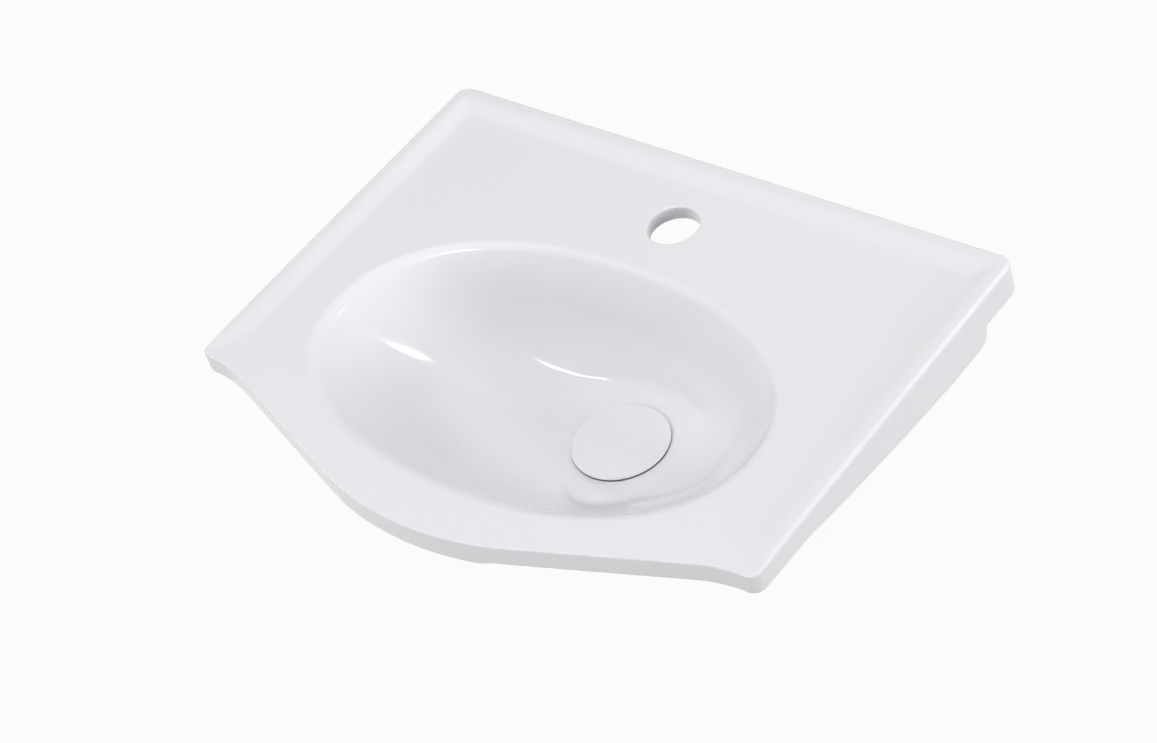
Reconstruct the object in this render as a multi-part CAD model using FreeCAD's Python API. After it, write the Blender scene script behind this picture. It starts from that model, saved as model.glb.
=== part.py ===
import FreeCAD, Part
import math
import os

# A small cast hand basin with a push-open waste. All sizes are millimetres.
# The frame: +Z up, the wall is the plane y = 0 and the front is -Y, x = 0 is the middle.
# The origin is the centre of the flat back edge that meets the wall.

# ---- basin body: overall ----
WIDTH = 450.0
DEPTH = 340.0
BACK_BAND = 24.0            # height of the edge band at the wall
FRONT_BAND_RISE = 3.0       # how much higher the band's underside is at the front
RIM_HEIGHT = 5.0            # rim crest over the deck, at the wall
RIM_FALL = 3.6              # how much the side rims drop towards the front corners
RIM_TOP_WIDTH = 9.0
RIM_SLOPE_WIDTH = 12.0
DECK_THICKNESS = 11.0
EDGE_WALL = 12.0
BACK_CORNER_RADIUS = 10.0
FRONT_CORNER_RADIUS = 8.0

# ---- basin body: front edge, a bow between two hollow flares ----
BOW_RADIUS = 225.0
FLARE_RADIUS = 100.0
FLARE_ANGLE = 20.0          # degrees, where the bow runs over into the flares

# ---- basin body: underside ----
LEDGE_DEPTH = 40.0          # flat strip along the wall that rests on a cabinet or bracket
SKIRT_DROP = 15.5           # lowest line of the side skirts under the band at the wall
SKIRT_WALL = 12.0
SKIRT_FLAT = 40.0           # length of the skirts' level foot, from the ledge
SKIRT_FRONT_GAP = 50.0      # from the skirts' tapered end to the front end of the sides
SKIRT_BULGE = 1.8           # crown of the tapering line over its chord
SKIRT_HEEL_RADIUS = 10.0
SKIRT_EDGE_RADIUS = 8.0
SPREADER_WALL = 12.0        # cross wall behind the bowl that ties the skirts
SPREADER_MARGIN = 4.0       # cross wall to the room for the tap's nut
LIP_WIDTH = 132.0           # shallow lip under the middle of the front edge
LIP_DROP = 2.4
LIP_FADE = 14.0

# ---- tap hole ----
TAP_RADIUS = 17.5
TAP_FROM_WALL = 56.0
TAP_NUT_ROOM = 34.0         # radius kept free under the deck for the tap's nut

# ---- bowl ----
BOWL_FROM_NUT_ROOM = 1.0    # the bowl's outside to the room for the tap's nut
SIDE_SHELF = 58.0           # deck from the side to the foot of the rounded brim
FRONT_SHELF = 38.0          # the same from the middle of the front edge
BOWL_DEPTH = 110.0          # deck to floor
BOWL_WALL = 11.0
BRIM_RADIUS = 5.0
BRIM_SQUARENESS = 2.2       # exponent of the oval at the brim
FLOOR_SQUARENESS = 2.0      # exponent of the oval at the floor, a circle
BACK_LEAN = 0.04            # run over fall of the steep back wall
BACK_FILLET = 13.0          # back wall to floor
SIDE_CURVE = 1.7            # power of the fall from the floor's edge to the brim, at the sides
FRONT_CURVE = 1.2           # the same, at the front
WAIST_CURVE = 1.3           # the same, for the line where the bowl is widest
OVAL_POINTS = 48            # points on each level line of the bowl
BRIM_STEPS = (0.0, 0.08, 0.3, 0.6, 1.0)     # level lines down the rounded brim, as shares of it
WALL_STEPS = 5                              # level lines between the brim and the fillet
FILLET_STEPS = (0.4, 0.7, 0.9, 1.0)         # level lines down the fillet, as shares of it
SHELL_STEPS = 7                             # level lines of the bowl's outside

# ---- drain seat ----
SEAT_CLEARANCE = 1.0        # flange to the wall of its seat
SEAT_MARGIN = 2.0           # flat floor round the seat
FLANGE_SUNK = 0.1           # flange's top under the floor
FLOOR_WALL = 12.0           # cast thickness under the floor
FLOOR_PAD = 9.0             # how far the flat underside reaches past the floor

# ---- waste ----
THREAD_RADIUS = 20.955      # crest of a G 1 1/4 pipe thread, drawn plain
TUBE_WALL = 2.455           # bore to the thread's crest
DRAIN_CLEARANCE = 1.8       # tube to drain hole, on the radius
GASKET_CLEARANCE = 0.3      # tube to rings, on the radius
NUT_CLEARANCE = 0.12        # tube to nut, on the radius
TUBE_LENGTH = 62.0          # flange's underside to the outlet end
FLANGE_WIDTH = 11.045       # flange past the thread
FLANGE_THICKNESS = 2.0
FLANGE_EDGE = 0.8
FLANGE_LAND = 10.0          # flat of the flange round its 45 degree mouth
OUTLET_CHAMFER = 1.0
RELIEF_DEPTH = 0.8          # thread relief between the nut and the outlet's thread
RELIEF_LENGTH = 3.0
RELIEF_BELOW_NUT = 2.5
FLANGE_GASKET_THICKNESS = 1.5
FLANGE_GASKET_INSET = 1.0   # gasket's edge inside the flange's edge
UNDER_GASKET_WIDTH = 12.045
UNDER_GASKET_THICKNESS = 6.0
SLIP_WASHER_INSET = 1.0     # washer's edge inside the rubber ring's edge
SLIP_WASHER_THICKNESS = 1.5
NUT_WALL = 5.045            # thread to the flats
NUT_FLANGE_INSET = 0.5      # nut's flange inside the washer's edge
NUT_FLANGE_THICKNESS = 2.5
NUT_HEIGHT = 10.0
NUT_CHAMFER = 1.5
CROSS_ARMS = 3
CROSS_ARM_WIDTH = 4.0
CROSS_ARM_HEIGHT = 3.5
BOSS_WALL = 2.5
BOSS_HEIGHT = 8.0
BOSS_RISE = 2.5             # boss top over the arms

# ---- cover ----
CAP_OVERLAP = 0.5           # cover's edge past the wall of the drain seat
CAP_GAP = 0.8               # floor to the cover's edge
CAP_EDGE = 1.7              # height of the cover's edge
CAP_CROWN = 0.6
CAP_EDGE_ROUND = 0.8
CAP_RIM_WIDTH = 2.6         # edge ring round the hollow underside
CAP_BODY = 1.9              # thickness at the middle
CARRIER_ROOM = 2.0          # carrier to the tube's bore, on the radius
CARRIER_THICKNESS = 3.0
CARRIER_LIP = 1.4           # keeps the seal on, on the radius
CARRIER_LIP_HEIGHT = 0.8
SEAL_GAP = 0.3              # seal to the mouth and to the cover
SEAL_FIT = 0.1              # seal to carrier, on the radius
STUD_HOLE_WALL = 1.45       # plunger left round the stud's hole
STUD_DEPTH = 7.0            # length of stud inside the plunger
STUD_END_ROOM = 1.0         # stud's end to the bottom of its hole
STUD_FIT = 0.05             # stud to nut and plunger, on the radius
LOCK_NUT_WALL = 1.95        # stud's hole to the flats
LOCK_NUT_HEIGHT = 4.5
LOCK_NUT_PLAY = 0.2         # carrier to lock nut

# ---- latch ----
TRAVEL = 8.0                # shut to open
PLUNGER_RADIUS = 4.5
PLUNGER_FIT = 0.06          # running fit in the cage, on the radius
PLUNGER_SHOWS = 2.0         # plunger over the cage when shut
STEM_RADIUS = 2.0
STEM_FIT = 0.08             # running fit in the cage's foot, on the radius
STEM_TAIL = 2.0             # stem past its clip
CAGE_WALL = 2.5
CAGE_FIT = 0.05             # cage to boss, on the radius
CAGE_FOOT = 2.0
COLLAR_WIDTH = 1.5          # collar's flats past the cage
COLLAR_HEIGHT = 2.5
COLLAR_BELOW_TOP = 4.3      # cage's top to the collar's top
SPRING_WIRE = 0.9
SPRING_ROOM = 0.75          # stem to coils
SPRING_TURNS = 6.0
SPRING_LENGTH = 8.5         # shut
SPRING_SEAT_GAP = 0.05
CLIP_WIDTH = 2.2            # clip past the stem
CLIP_THICKNESS = 0.8
CLIP_GROOVE = 0.5
CLIP_MOUTH = 2.4
PIN_WIRE = 0.6              # radius of the wire
PIN_ABOVE_FOOT = 4.0        # pivot over the top of the cage's foot
PIN_SWING = 4.0             # degrees, shut to open
PIN_ROOM = 0.6              # wire to plunger
PIN_FIT = 0.05              # pin to its pivot hole, on the radius
TIP_ROOM = 1.0              # pin's tip to the track's floor
TRACK_CLEARANCE = 0.45      # pin to the track's walls
TRACK_DEPTH = 1.5
TRACK_FOOT_WALL = 3.45      # plunger left under the track
TRACK_HEAD_WALL = 3.95      # plunger left between the track and the stud's hole
WINDOW_CLEARANCE = 1.0      # pin to the walls of the cage's window

# ---- radii and widths that follow ----
HALF_WIDTH = WIDTH / 2
FLANGE_RADIUS = THREAD_RADIUS + FLANGE_WIDTH
TUBE_BORE = THREAD_RADIUS - TUBE_WALL
MOUTH_RADIUS = FLANGE_RADIUS - FLANGE_LAND
SEAT_RADIUS = FLANGE_RADIUS + SEAT_CLEARANCE
FLOOR_RADIUS = SEAT_RADIUS + SEAT_MARGIN
DRAIN_RADIUS = THREAD_RADIUS + DRAIN_CLEARANCE
GASKET_BORE = THREAD_RADIUS + GASKET_CLEARANCE
UNDER_GASKET_RADIUS = THREAD_RADIUS + UNDER_GASKET_WIDTH
SLIP_WASHER_RADIUS = UNDER_GASKET_RADIUS - SLIP_WASHER_INSET
NUT_FLANGE_RADIUS = SLIP_WASHER_RADIUS - NUT_FLANGE_INSET
CAP_RADIUS = SEAT_RADIUS + CAP_OVERLAP
CARRIER_RADIUS = TUBE_BORE - CARRIER_ROOM
STUD_HOLE = PLUNGER_RADIUS - STUD_HOLE_WALL
STUD_RADIUS = STUD_HOLE - STUD_FIT
CAGE_RADIUS = PLUNGER_RADIUS + CAGE_WALL
BOSS_BORE = CAGE_RADIUS + CAGE_FIT
SPRING_RADIUS = STEM_RADIUS + SPRING_ROOM + SPRING_WIRE / 2
PIN_LANE = PLUNGER_RADIUS + PIN_ROOM + PIN_WIRE
TRACK_HALF = PIN_WIRE + TRACK_CLEARANCE

# ---- heights that follow ----
RIM_TOP = BACK_BAND / 2
DECK = RIM_TOP - RIM_HEIGHT
DECK_UNDER = DECK - DECK_THICKNESS
BAND_UNDER = RIM_TOP - BACK_BAND
FRONT_UNDER = BAND_UNDER + FRONT_BAND_RISE
SKIRT_UNDER = BAND_UNDER - SKIRT_DROP
FLOOR = DECK - BOWL_DEPTH
SEAT = FLOOR - FLANGE_SUNK - FLANGE_THICKNESS - FLANGE_GASKET_THICKNESS
FLOOR_UNDER = FLOOR - FLOOR_WALL
FLANGE_UNDER = SEAT + FLANGE_GASKET_THICKNESS
FLANGE_TOP = FLANGE_UNDER + FLANGE_THICKNESS
OUTLET_END = FLANGE_UNDER - TUBE_LENGTH
WASHER_TOP = FLOOR_UNDER - UNDER_GASKET_THICKNESS
NUT_TOP = WASHER_TOP - SLIP_WASHER_THICKNESS
NUT_UNDER = NUT_TOP - NUT_HEIGHT
RELIEF_TOP = NUT_UNDER - RELIEF_BELOW_NUT
RELIEF_UNDER = RELIEF_TOP - RELIEF_LENGTH
CAP_UNDER = FLOOR + CAP_GAP
CAP_TOP = CAP_UNDER + CAP_EDGE + CAP_CROWN
CAP_HOLLOW = CAP_TOP - CAP_BODY
LIP_TOP = CAP_HOLLOW - CARRIER_THICKNESS
CARRIER_UNDER = LIP_TOP - CARRIER_LIP_HEIGHT
LOCK_NUT_TOP = CARRIER_UNDER - LOCK_NUT_PLAY
PLUNGER_TOP = LOCK_NUT_TOP - LOCK_NUT_HEIGHT
STUD_END = PLUNGER_TOP - STUD_DEPTH
PIN_TIP = STUD_END - STUD_END_ROOM - TRACK_HEAD_WALL - TRACK_HALF
PLUNGER_SHOULDER = PIN_TIP - TRAVEL - TRACK_HALF - TRACK_FOOT_WALL
CAGE_TOP = PLUNGER_TOP - PLUNGER_SHOWS
CAGE_FOOT_TOP = PLUNGER_SHOULDER - SPRING_LENGTH
CAGE_UNDER = CAGE_FOOT_TOP - CAGE_FOOT
COLLAR_TOP = CAGE_TOP - COLLAR_BELOW_TOP
BOSS_TOP = COLLAR_TOP - COLLAR_HEIGHT
BOSS_UNDER = BOSS_TOP - BOSS_HEIGHT
ARM_TOP = BOSS_TOP - BOSS_RISE
CLIP_TOP = CAGE_UNDER - TRAVEL
CLIP_UNDER = CLIP_TOP - CLIP_THICKNESS
STEM_END = CLIP_UNDER - STEM_TAIL
PIN_PIVOT = CAGE_FOOT_TOP + PIN_ABOVE_FOOT
PIN_LENGTH = PIN_TIP - PIN_PIVOT
PIN_SWAY = PIN_LENGTH * math.sin(math.radians(PIN_SWING))

# ---- plan positions that follow ----
FLARE_SINE = math.sin(math.radians(FLARE_ANGLE))
FLARE_COSINE = math.cos(math.radians(FLARE_ANGLE))
BOW_CENTRE_Y = -DEPTH + BOW_RADIUS
FLARE_CENTRE_X = HALF_WIDTH - FRONT_CORNER_RADIUS
FLARE_RUN = FLARE_CENTRE_X - (BOW_RADIUS + FLARE_RADIUS) * FLARE_SINE
FLARE_RISE = FLARE_RUN * FLARE_SINE / FLARE_COSINE
FLARE_CENTRE_Y = BOW_CENTRE_Y - (BOW_RADIUS + FLARE_RADIUS) * FLARE_COSINE + FLARE_RISE
SIDE_FRONT = FLARE_CENTRE_Y + FLARE_RADIUS
SKIRT_TAPER_START = -LEDGE_DEPTH - SKIRT_FLAT
SKIRT_TAPER_END = SIDE_FRONT + SKIRT_FRONT_GAP
TAP_Y = -TAP_FROM_WALL
BOWL_BACK = TAP_Y - TAP_NUT_ROOM - BOWL_FROM_NUT_ROOM - BOWL_WALL
BOWL_FRONT = FRONT_SHELF - DEPTH
BOWL_HALF_WIDTH = HALF_WIDTH - SIDE_SHELF
FLOOR_BACK = BOWL_BACK - BACK_LEAN * BOWL_DEPTH - BACK_FILLET
DRAIN_Y = FLOOR_BACK - FLOOR_RADIUS
FLOOR_FRONT = DRAIN_Y - FLOOR_RADIUS

# ---- construction ----
PAST = 30.0                 # how far cutting bodies stand past what they cut
NUDGE = 1.0                 # the same, for cuts in small pieces
NEAR = 0.01                 # two faces closer than this are flush
SLANT = 1 - math.sqrt(0.5)  # how far the middle of a quarter round lies inside its corner
OUT = "parts"


def point(x, y, z=0.0):
    return FreeCAD.Vector(x, y, z)


def on_drain(radius, height):
    """A point of the plane through the drain's axis, to the right of it."""
    return point(radius, DRAIN_Y, height)


def line(start, end):
    return Part.makeLine(start, end)


def arc(start, middle, end):
    return Part.Arc(start, middle, end).toShape()


def polygon(corners):
    """A flat face with these corners."""
    return Part.Face(Part.makePolygon(corners + corners[:1]))


def cylinder(radius, low, high, x=0.0, y=DRAIN_Y):
    return Part.makeCylinder(radius, high - low, point(x, y, low))


def rod(radius, start, length):
    """A cylinder that runs from start along +X."""
    return Part.makeCylinder(radius, length, start, point(1, 0, 0))


def ring(inner, outer, low, high):
    return cylinder(outer, low, high).cut(cylinder(inner, low - PAST, high + PAST))


def block(x_low, x_high, y_low, y_high, z_low, z_high):
    return Part.makeBox(x_high - x_low, y_high - y_low, z_high - z_low, point(x_low, y_low, z_low))


def hexagon(flats_radius, low, high):
    """A hexagonal prism on the drain's axis, whose flats touch a circle of this radius."""
    corner = flats_radius / math.cos(math.radians(30))
    turns = [math.radians(60 * step) for step in range(6)]
    corners = [point(corner * math.cos(t), DRAIN_Y + corner * math.sin(t), low) for t in turns]
    return polygon(corners).extrude(point(0, 0, high - low))


def turn_on_drain(face):
    return face.revolve(point(0, DRAIN_Y), point(0, 0, 1), 360)


def turned(profile):
    """A solid of revolution on the drain's axis, from (radius, height) corners."""
    return turn_on_drain(polygon([on_drain(radius, height) for radius, height in profile]))


def mirrored(shape):
    """The same shape on the other side of the basin."""
    return shape.mirror(point(0, 0), point(1, 0))


def prism(face, low, high):
    """A flat face drawn at height 0, made a body from low to high."""
    return face.translated(point(0, 0, low)).extrude(point(0, 0, high - low))


# ---- basin body ----

def front_edges(inset):
    """The front edge seen from above: the bow, and to the right its tangent and the hollow flare."""
    bow = BOW_RADIUS - inset
    flare = FLARE_RADIUS + inset
    bow_end = point(bow * FLARE_SINE, BOW_CENTRE_Y - bow * FLARE_COSINE)
    bow_start = point(-bow_end.x, bow_end.y)
    first = math.radians(FLARE_ANGLE)
    last = math.asin(max(inset - FRONT_CORNER_RADIUS, 0.0) / flare)
    start, middle, end = [
        point(FLARE_CENTRE_X - flare * math.sin(turn), FLARE_CENTRE_Y + flare * math.cos(turn))
        for turn in (first, (first + last) / 2, last)
    ]
    bow_edge = arc(bow_start, point(0, BOW_CENTRE_Y - bow), bow_end)
    return bow_edge, [line(bow_end, start), arc(start, middle, end)], end


def plan_face(right_side, back_edge, inset=0.0):
    """A face seen from above between the front edge, one side and its mirror image, and a back edge."""
    bow_edge, flare_edges, _ = front_edges(inset)
    half = flare_edges + right_side
    edges = [bow_edge, back_edge] + half + [mirrored(edge) for edge in half]
    return Part.Face(Part.Wire(Part.__sortEdges__(edges)))


def outline():
    """The basin seen from above, with its rounded corners."""
    front = FRONT_CORNER_RADIUS
    back = BACK_CORNER_RADIUS
    flare_end = front_edges(0.0)[2]
    side_start = point(HALF_WIDTH, SIDE_FRONT + front)
    side_end = point(HALF_WIDTH, -back)
    heel = point(HALF_WIDTH - back, 0)
    right_side = [
        arc(flare_end, point(HALF_WIDTH - front * SLANT, SIDE_FRONT + front * SLANT), side_start),
        line(side_start, side_end),
        arc(side_end, point(HALF_WIDTH - back * SLANT, -back * SLANT), heel),
    ]
    return plan_face(right_side, line(heel, point(-heel.x, 0)))


def hollow_outline():
    """The outline drawn in by the edge wall, with square corners, behind it the resting ledge."""
    flare_end = front_edges(EDGE_WALL)[2]
    corner = point(HALF_WIDTH - EDGE_WALL, -LEDGE_DEPTH)
    back_edge = line(corner, point(-corner.x, corner.y))
    return plan_face([line(flare_end, corner)], back_edge, EDGE_WALL)


def band():
    """The slab behind deck, rims and edge: its top falls to the front and its underside rises."""
    profile = [
        (0, BAND_UNDER), (0, RIM_TOP), (SIDE_FRONT, RIM_TOP - RIM_FALL), (-DEPTH, DECK),
        (-DEPTH, FRONT_UNDER), (SIDE_FRONT, FRONT_UNDER), (-LEDGE_DEPTH, BAND_UNDER),
    ]
    slab = polygon([point(-HALF_WIDTH, y, z) for y, z in profile]).extrude(point(WIDTH, 0, 0))
    return slab.common(prism(outline(), BAND_UNDER - PAST, RIM_TOP + PAST))


def deck_recess():
    """What lies between the rims: sloped at the sides and the wall, open to the front."""
    front = -DEPTH - PAST
    layers = []
    for rise in (0.0, RIM_HEIGHT + NUDGE):
        inset = RIM_TOP_WIDTH + RIM_SLOPE_WIDTH * (1 - rise / RIM_HEIGHT)
        side = HALF_WIDTH - inset
        plan = [(-side, -inset), (side, -inset), (side, front), (-side, front)]
        corners = [point(x, y, DECK + rise) for x, y in plan]
        layers.append(Part.makePolygon(corners + corners[:1]))
    return Part.makeLoft(layers, True, True)


def underside_hollow():
    """The hollow between the edge band, the deck and the resting ledge."""
    return prism(hollow_outline(), BAND_UNDER - PAST, DECK_UNDER)


def skirt():
    """The right skirt: rounded heel, level foot and a tapering crown, flush with the band."""
    x = HALF_WIDTH - SKIRT_WALL
    heel_y = -LEDGE_DEPTH
    radius = SKIRT_HEEL_RADIUS
    heel_top = point(x, heel_y, DECK_UNDER)
    heel_start = point(x, heel_y, SKIRT_UNDER + radius)
    heel_middle = point(x, heel_y - radius * SLANT, SKIRT_UNDER + radius * SLANT)
    heel_end = point(x, heel_y - radius, SKIRT_UNDER)
    taper_start = point(x, SKIRT_TAPER_START, SKIRT_UNDER)
    taper_end = point(x, SKIRT_TAPER_END, FRONT_UNDER)
    taper_top = point(x, SKIRT_TAPER_END, DECK_UNDER)
    crown = (taper_start + taper_end) * 0.5 - point(0, 0, SKIRT_BULGE)
    edges = [
        line(heel_top, heel_start), arc(heel_start, heel_middle, heel_end),
        line(heel_end, taper_start), arc(taper_start, crown, taper_end),
        line(taper_end, taper_top), line(taper_top, heel_top),
    ]
    plain = Part.Face(Part.Wire(edges)).extrude(point(SKIRT_WALL, 0, 0))
    return plain.makeFillet(SKIRT_EDGE_RADIUS, [edge for edge in plain.Edges if is_outer_foot(edge)])


def is_outer_foot(edge):
    """Is this one of the edges along the outer foot of the right skirt?"""
    box = edge.BoundBox
    flush = box.XMin > HALF_WIDTH - NEAR
    low = box.ZMin < FRONT_UNDER - NEAR
    return flush and low and box.YLength > NEAR


def spreader():
    """The cross wall behind the bowl, open in the middle for the tap."""
    inner = TAP_NUT_ROOM + SPREADER_MARGIN
    outer = HALF_WIDTH - SKIRT_WALL
    front = -LEDGE_DEPTH - SPREADER_WALL
    return block(inner, outer, front, -LEDGE_DEPTH, SKIRT_UNDER, DECK_UNDER)


def front_lip():
    """A shallow lip under the middle of the front edge that fades out at both ends."""
    low = FRONT_UNDER - LIP_DROP
    half = LIP_WIDTH / 2
    profile = [
        (-half, FRONT_UNDER), (LIP_FADE - half, low), (half - LIP_FADE, low), (half, FRONT_UNDER),
    ]
    strip = polygon([point(x, -DEPTH - PAST, z) for x, z in profile]).extrude(point(0, DEPTH / 2, 0))
    return strip.common(prism(outline().cut(hollow_outline()), low - PAST, FRONT_UNDER))


def bowl_numbers(depth, wall=0.0):
    """Half width, widest line, back and front of the bowl at a depth under the deck.

    The back leans in slowly and turns onto the floor in a round. The sides and the front fall
    by a power of the distance from the floor's edge. The brim is rounded over onto the deck.
    """
    fall = 1 - depth / BOWL_DEPTH
    side_share = fall ** (1 / SIDE_CURVE)
    front_share = fall ** (1 / FRONT_CURVE)
    round_over = max(BRIM_RADIUS - depth, 0.0)
    brim = BRIM_RADIUS - math.sqrt(BRIM_RADIUS ** 2 - round_over ** 2)
    turn = max(depth - BOWL_DEPTH + BACK_FILLET, 0.0)
    fillet = BACK_FILLET - math.sqrt(BACK_FILLET ** 2 - turn ** 2)
    back = BOWL_BACK - BACK_LEAN * depth - fillet
    front = FLOOR_FRONT + (BOWL_FRONT - FLOOR_FRONT) * front_share
    half = FLOOR_RADIUS + (BOWL_HALF_WIDTH - FLOOR_RADIUS) * side_share
    brim_middle = (BOWL_BACK + BOWL_FRONT) / 2
    waist = DRAIN_Y + (brim_middle - DRAIN_Y) * side_share ** WAIST_CURVE
    return half + brim + wall, waist, back + brim + wall, front - brim - wall


def bowl_section(share, z, wall=0.0):
    """One closed level line of the bowl: an oval whose back and front halves differ.

    share is how far down the bowl it lies, from 0 at the deck to 1 at the floor.
    """
    half, waist, back, front = bowl_numbers(BOWL_DEPTH * share, wall)
    power = 2 / (BRIM_SQUARENESS + (FLOOR_SQUARENESS - BRIM_SQUARENESS) * share)
    places = []
    for step in range(OVAL_POINTS):
        turn = 2 * math.pi * step / OVAL_POINTS
        sine = math.sin(turn)
        cosine = math.cos(turn)
        reach = back - waist if sine > 0 else waist - front
        x = half * math.copysign(abs(cosine) ** power, cosine)
        y = waist + reach * math.copysign(abs(sine) ** power, sine)
        places.append(point(x, y, z))
    curve = Part.BSplineCurve()
    curve.interpolate(Points=places, PeriodicFlag=True)
    return Part.Wire(curve.toShape())


def bowl_cavity():
    """The inside of the bowl, from the deck down to the floor."""
    fillet_start = 1 - BACK_FILLET / BOWL_DEPTH
    brim_end = BRIM_RADIUS / BOWL_DEPTH
    wall_step = (fillet_start - brim_end) / WALL_STEPS
    brim = [brim_end * step for step in BRIM_STEPS]
    wall = [brim_end + wall_step * (step + 1) for step in range(WALL_STEPS)]
    foot = [fillet_start + (1 - fillet_start) * step for step in FILLET_STEPS]
    sections = [bowl_section(share, DECK - BOWL_DEPTH * share) for share in brim + wall + foot]
    return Part.makeLoft(sections, True, False)


def bowl_shell():
    """The outside of the bowl: the level lines moved out by the wall, ending on a flat pad."""
    start = DECK_THICKNESS / BOWL_DEPTH
    sections = []
    for step in range(SHELL_STEPS + 1):
        down = step / SHELL_STEPS
        z = DECK_UNDER + (FLOOR_UNDER - DECK_UNDER) * down
        wall = BOWL_WALL + (FLOOR_PAD - BOWL_WALL) * down
        sections.append(bowl_section(start + (1 - start) * down, z, wall))
    return Part.makeLoft(sections, True, False)


def basin_body():
    """The one-piece cast body."""
    body = band().cut(deck_recess()).cut(underside_hollow())
    sides = [skirt(), spreader()]
    sides += [mirrored(side) for side in sides]
    body = body.fuse(sides + [bowl_shell(), front_lip()])
    openings = [
        bowl_cavity(),
        cylinder(SEAT_RADIUS, SEAT, FLOOR + NUDGE),
        cylinder(DRAIN_RADIUS, FLOOR_UNDER - PAST, FLOOR),
        cylinder(TAP_RADIUS, DECK_UNDER - PAST, RIM_TOP, y=TAP_Y),
        cylinder(TAP_NUT_ROOM, BAND_UNDER - PAST, DECK_UNDER, y=TAP_Y),
    ]
    for opening in openings:
        body = body.cut(opening)
    return body


# ---- waste ----

def waste_body():
    """Flange, tube with thread relief, and the three-armed cross with its boss."""
    mouth_foot = FLANGE_TOP - (MOUTH_RADIUS - TUBE_BORE)
    relief = THREAD_RADIUS - RELIEF_DEPTH
    shell = turned([
        (MOUTH_RADIUS, FLANGE_TOP), (FLANGE_RADIUS - FLANGE_EDGE, FLANGE_TOP),
        (FLANGE_RADIUS, FLANGE_TOP - FLANGE_EDGE), (FLANGE_RADIUS, FLANGE_UNDER),
        (THREAD_RADIUS, FLANGE_UNDER), (THREAD_RADIUS, RELIEF_TOP), (relief, RELIEF_TOP),
        (relief, RELIEF_UNDER), (THREAD_RADIUS, RELIEF_UNDER),
        (THREAD_RADIUS, OUTLET_END + OUTLET_CHAMFER), (THREAD_RADIUS - OUTLET_CHAMFER, OUTLET_END),
        (TUBE_BORE, OUTLET_END), (TUBE_BORE, mouth_foot),
    ])
    boss = ring(BOSS_BORE, BOSS_BORE + BOSS_WALL, BOSS_UNDER, BOSS_TOP)
    arm_start = BOSS_BORE + BOSS_WALL / 2
    arm_end = TUBE_BORE + TUBE_WALL / 2
    half = CROSS_ARM_WIDTH / 2
    arms = []
    for step in range(CROSS_ARMS):
        arm = block(arm_start, arm_end, DRAIN_Y - half, DRAIN_Y + half, ARM_TOP - CROSS_ARM_HEIGHT, ARM_TOP)
        arm.rotate(point(0, DRAIN_Y), point(0, 0, 1), 90 + 360 * step / CROSS_ARMS)
        arms.append(arm)
    return shell.fuse([boss] + arms).removeSplitter()


def flange_gasket():
    return ring(GASKET_BORE, FLANGE_RADIUS - FLANGE_GASKET_INSET, SEAT, FLANGE_UNDER)


def under_gasket():
    return ring(GASKET_BORE, UNDER_GASKET_RADIUS, WASHER_TOP, FLOOR_UNDER)


def slip_washer():
    return ring(GASKET_BORE, SLIP_WASHER_RADIUS, NUT_TOP, WASHER_TOP)


def back_nut():
    """A hexagon with a round flange on top and chamfered lower corners."""
    flats = THREAD_RADIUS + NUT_WALL
    corner = flats / math.cos(math.radians(30))
    blank = turned([
        (0, NUT_UNDER), (corner - NUT_CHAMFER, NUT_UNDER), (corner, NUT_UNDER + NUT_CHAMFER),
        (corner, NUT_TOP), (0, NUT_TOP),
    ])
    nut = hexagon(flats, NUT_UNDER, NUT_TOP).common(blank)
    nut = nut.fuse(cylinder(NUT_FLANGE_RADIUS, NUT_TOP - NUT_FLANGE_THICKNESS, NUT_TOP))
    return nut.cut(cylinder(THREAD_RADIUS + NUT_CLEARANCE, NUT_UNDER - PAST, NUT_TOP + PAST))


# ---- cover ----

def crown_height(radius):
    """The height of the cover's crown, part of a large sphere, at this distance from its middle."""
    sphere = (CAP_RADIUS ** 2 + CAP_CROWN ** 2) / (2 * CAP_CROWN)
    return CAP_TOP - sphere + math.sqrt(sphere ** 2 - radius ** 2)


def waste_cap():
    """The round cover: crowned on top, round at its edge and hollow underneath."""
    hollow = CAP_RADIUS - CAP_RIM_WIDTH
    shoulder = CAP_RADIUS - CAP_EDGE_ROUND
    shoulder_height = crown_height(shoulder)
    inside = CAP_EDGE_ROUND * SLANT
    middle = on_drain(0, CAP_TOP)
    crown_end = on_drain(shoulder, shoulder_height)
    round_middle = on_drain(CAP_RADIUS - inside, shoulder_height - inside)
    round_end = on_drain(CAP_RADIUS, shoulder_height - CAP_EDGE_ROUND)
    foot = [
        round_end, on_drain(CAP_RADIUS, CAP_UNDER), on_drain(hollow, CAP_UNDER),
        on_drain(hollow, CAP_HOLLOW), on_drain(0, CAP_HOLLOW), middle,
    ]
    edges = [
        arc(middle, on_drain(shoulder / 2, crown_height(shoulder / 2)), crown_end),
        arc(crown_end, round_middle, round_end),
    ]
    edges += [line(start, end) for start, end in zip(foot, foot[1:])]
    return turn_on_drain(Part.Face(Part.Wire(edges)))


def cap_carrier():
    """Plug disc with a lip under the seal and a stud down into the plunger."""
    lip = CARRIER_RADIUS + CARRIER_LIP
    return turned([
        (0, CAP_HOLLOW), (CARRIER_RADIUS, CAP_HOLLOW), (CARRIER_RADIUS, LIP_TOP), (lip, LIP_TOP),
        (lip, CARRIER_UNDER), (STUD_RADIUS, CARRIER_UNDER), (STUD_RADIUS, STUD_END), (0, STUD_END),
    ])


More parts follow.
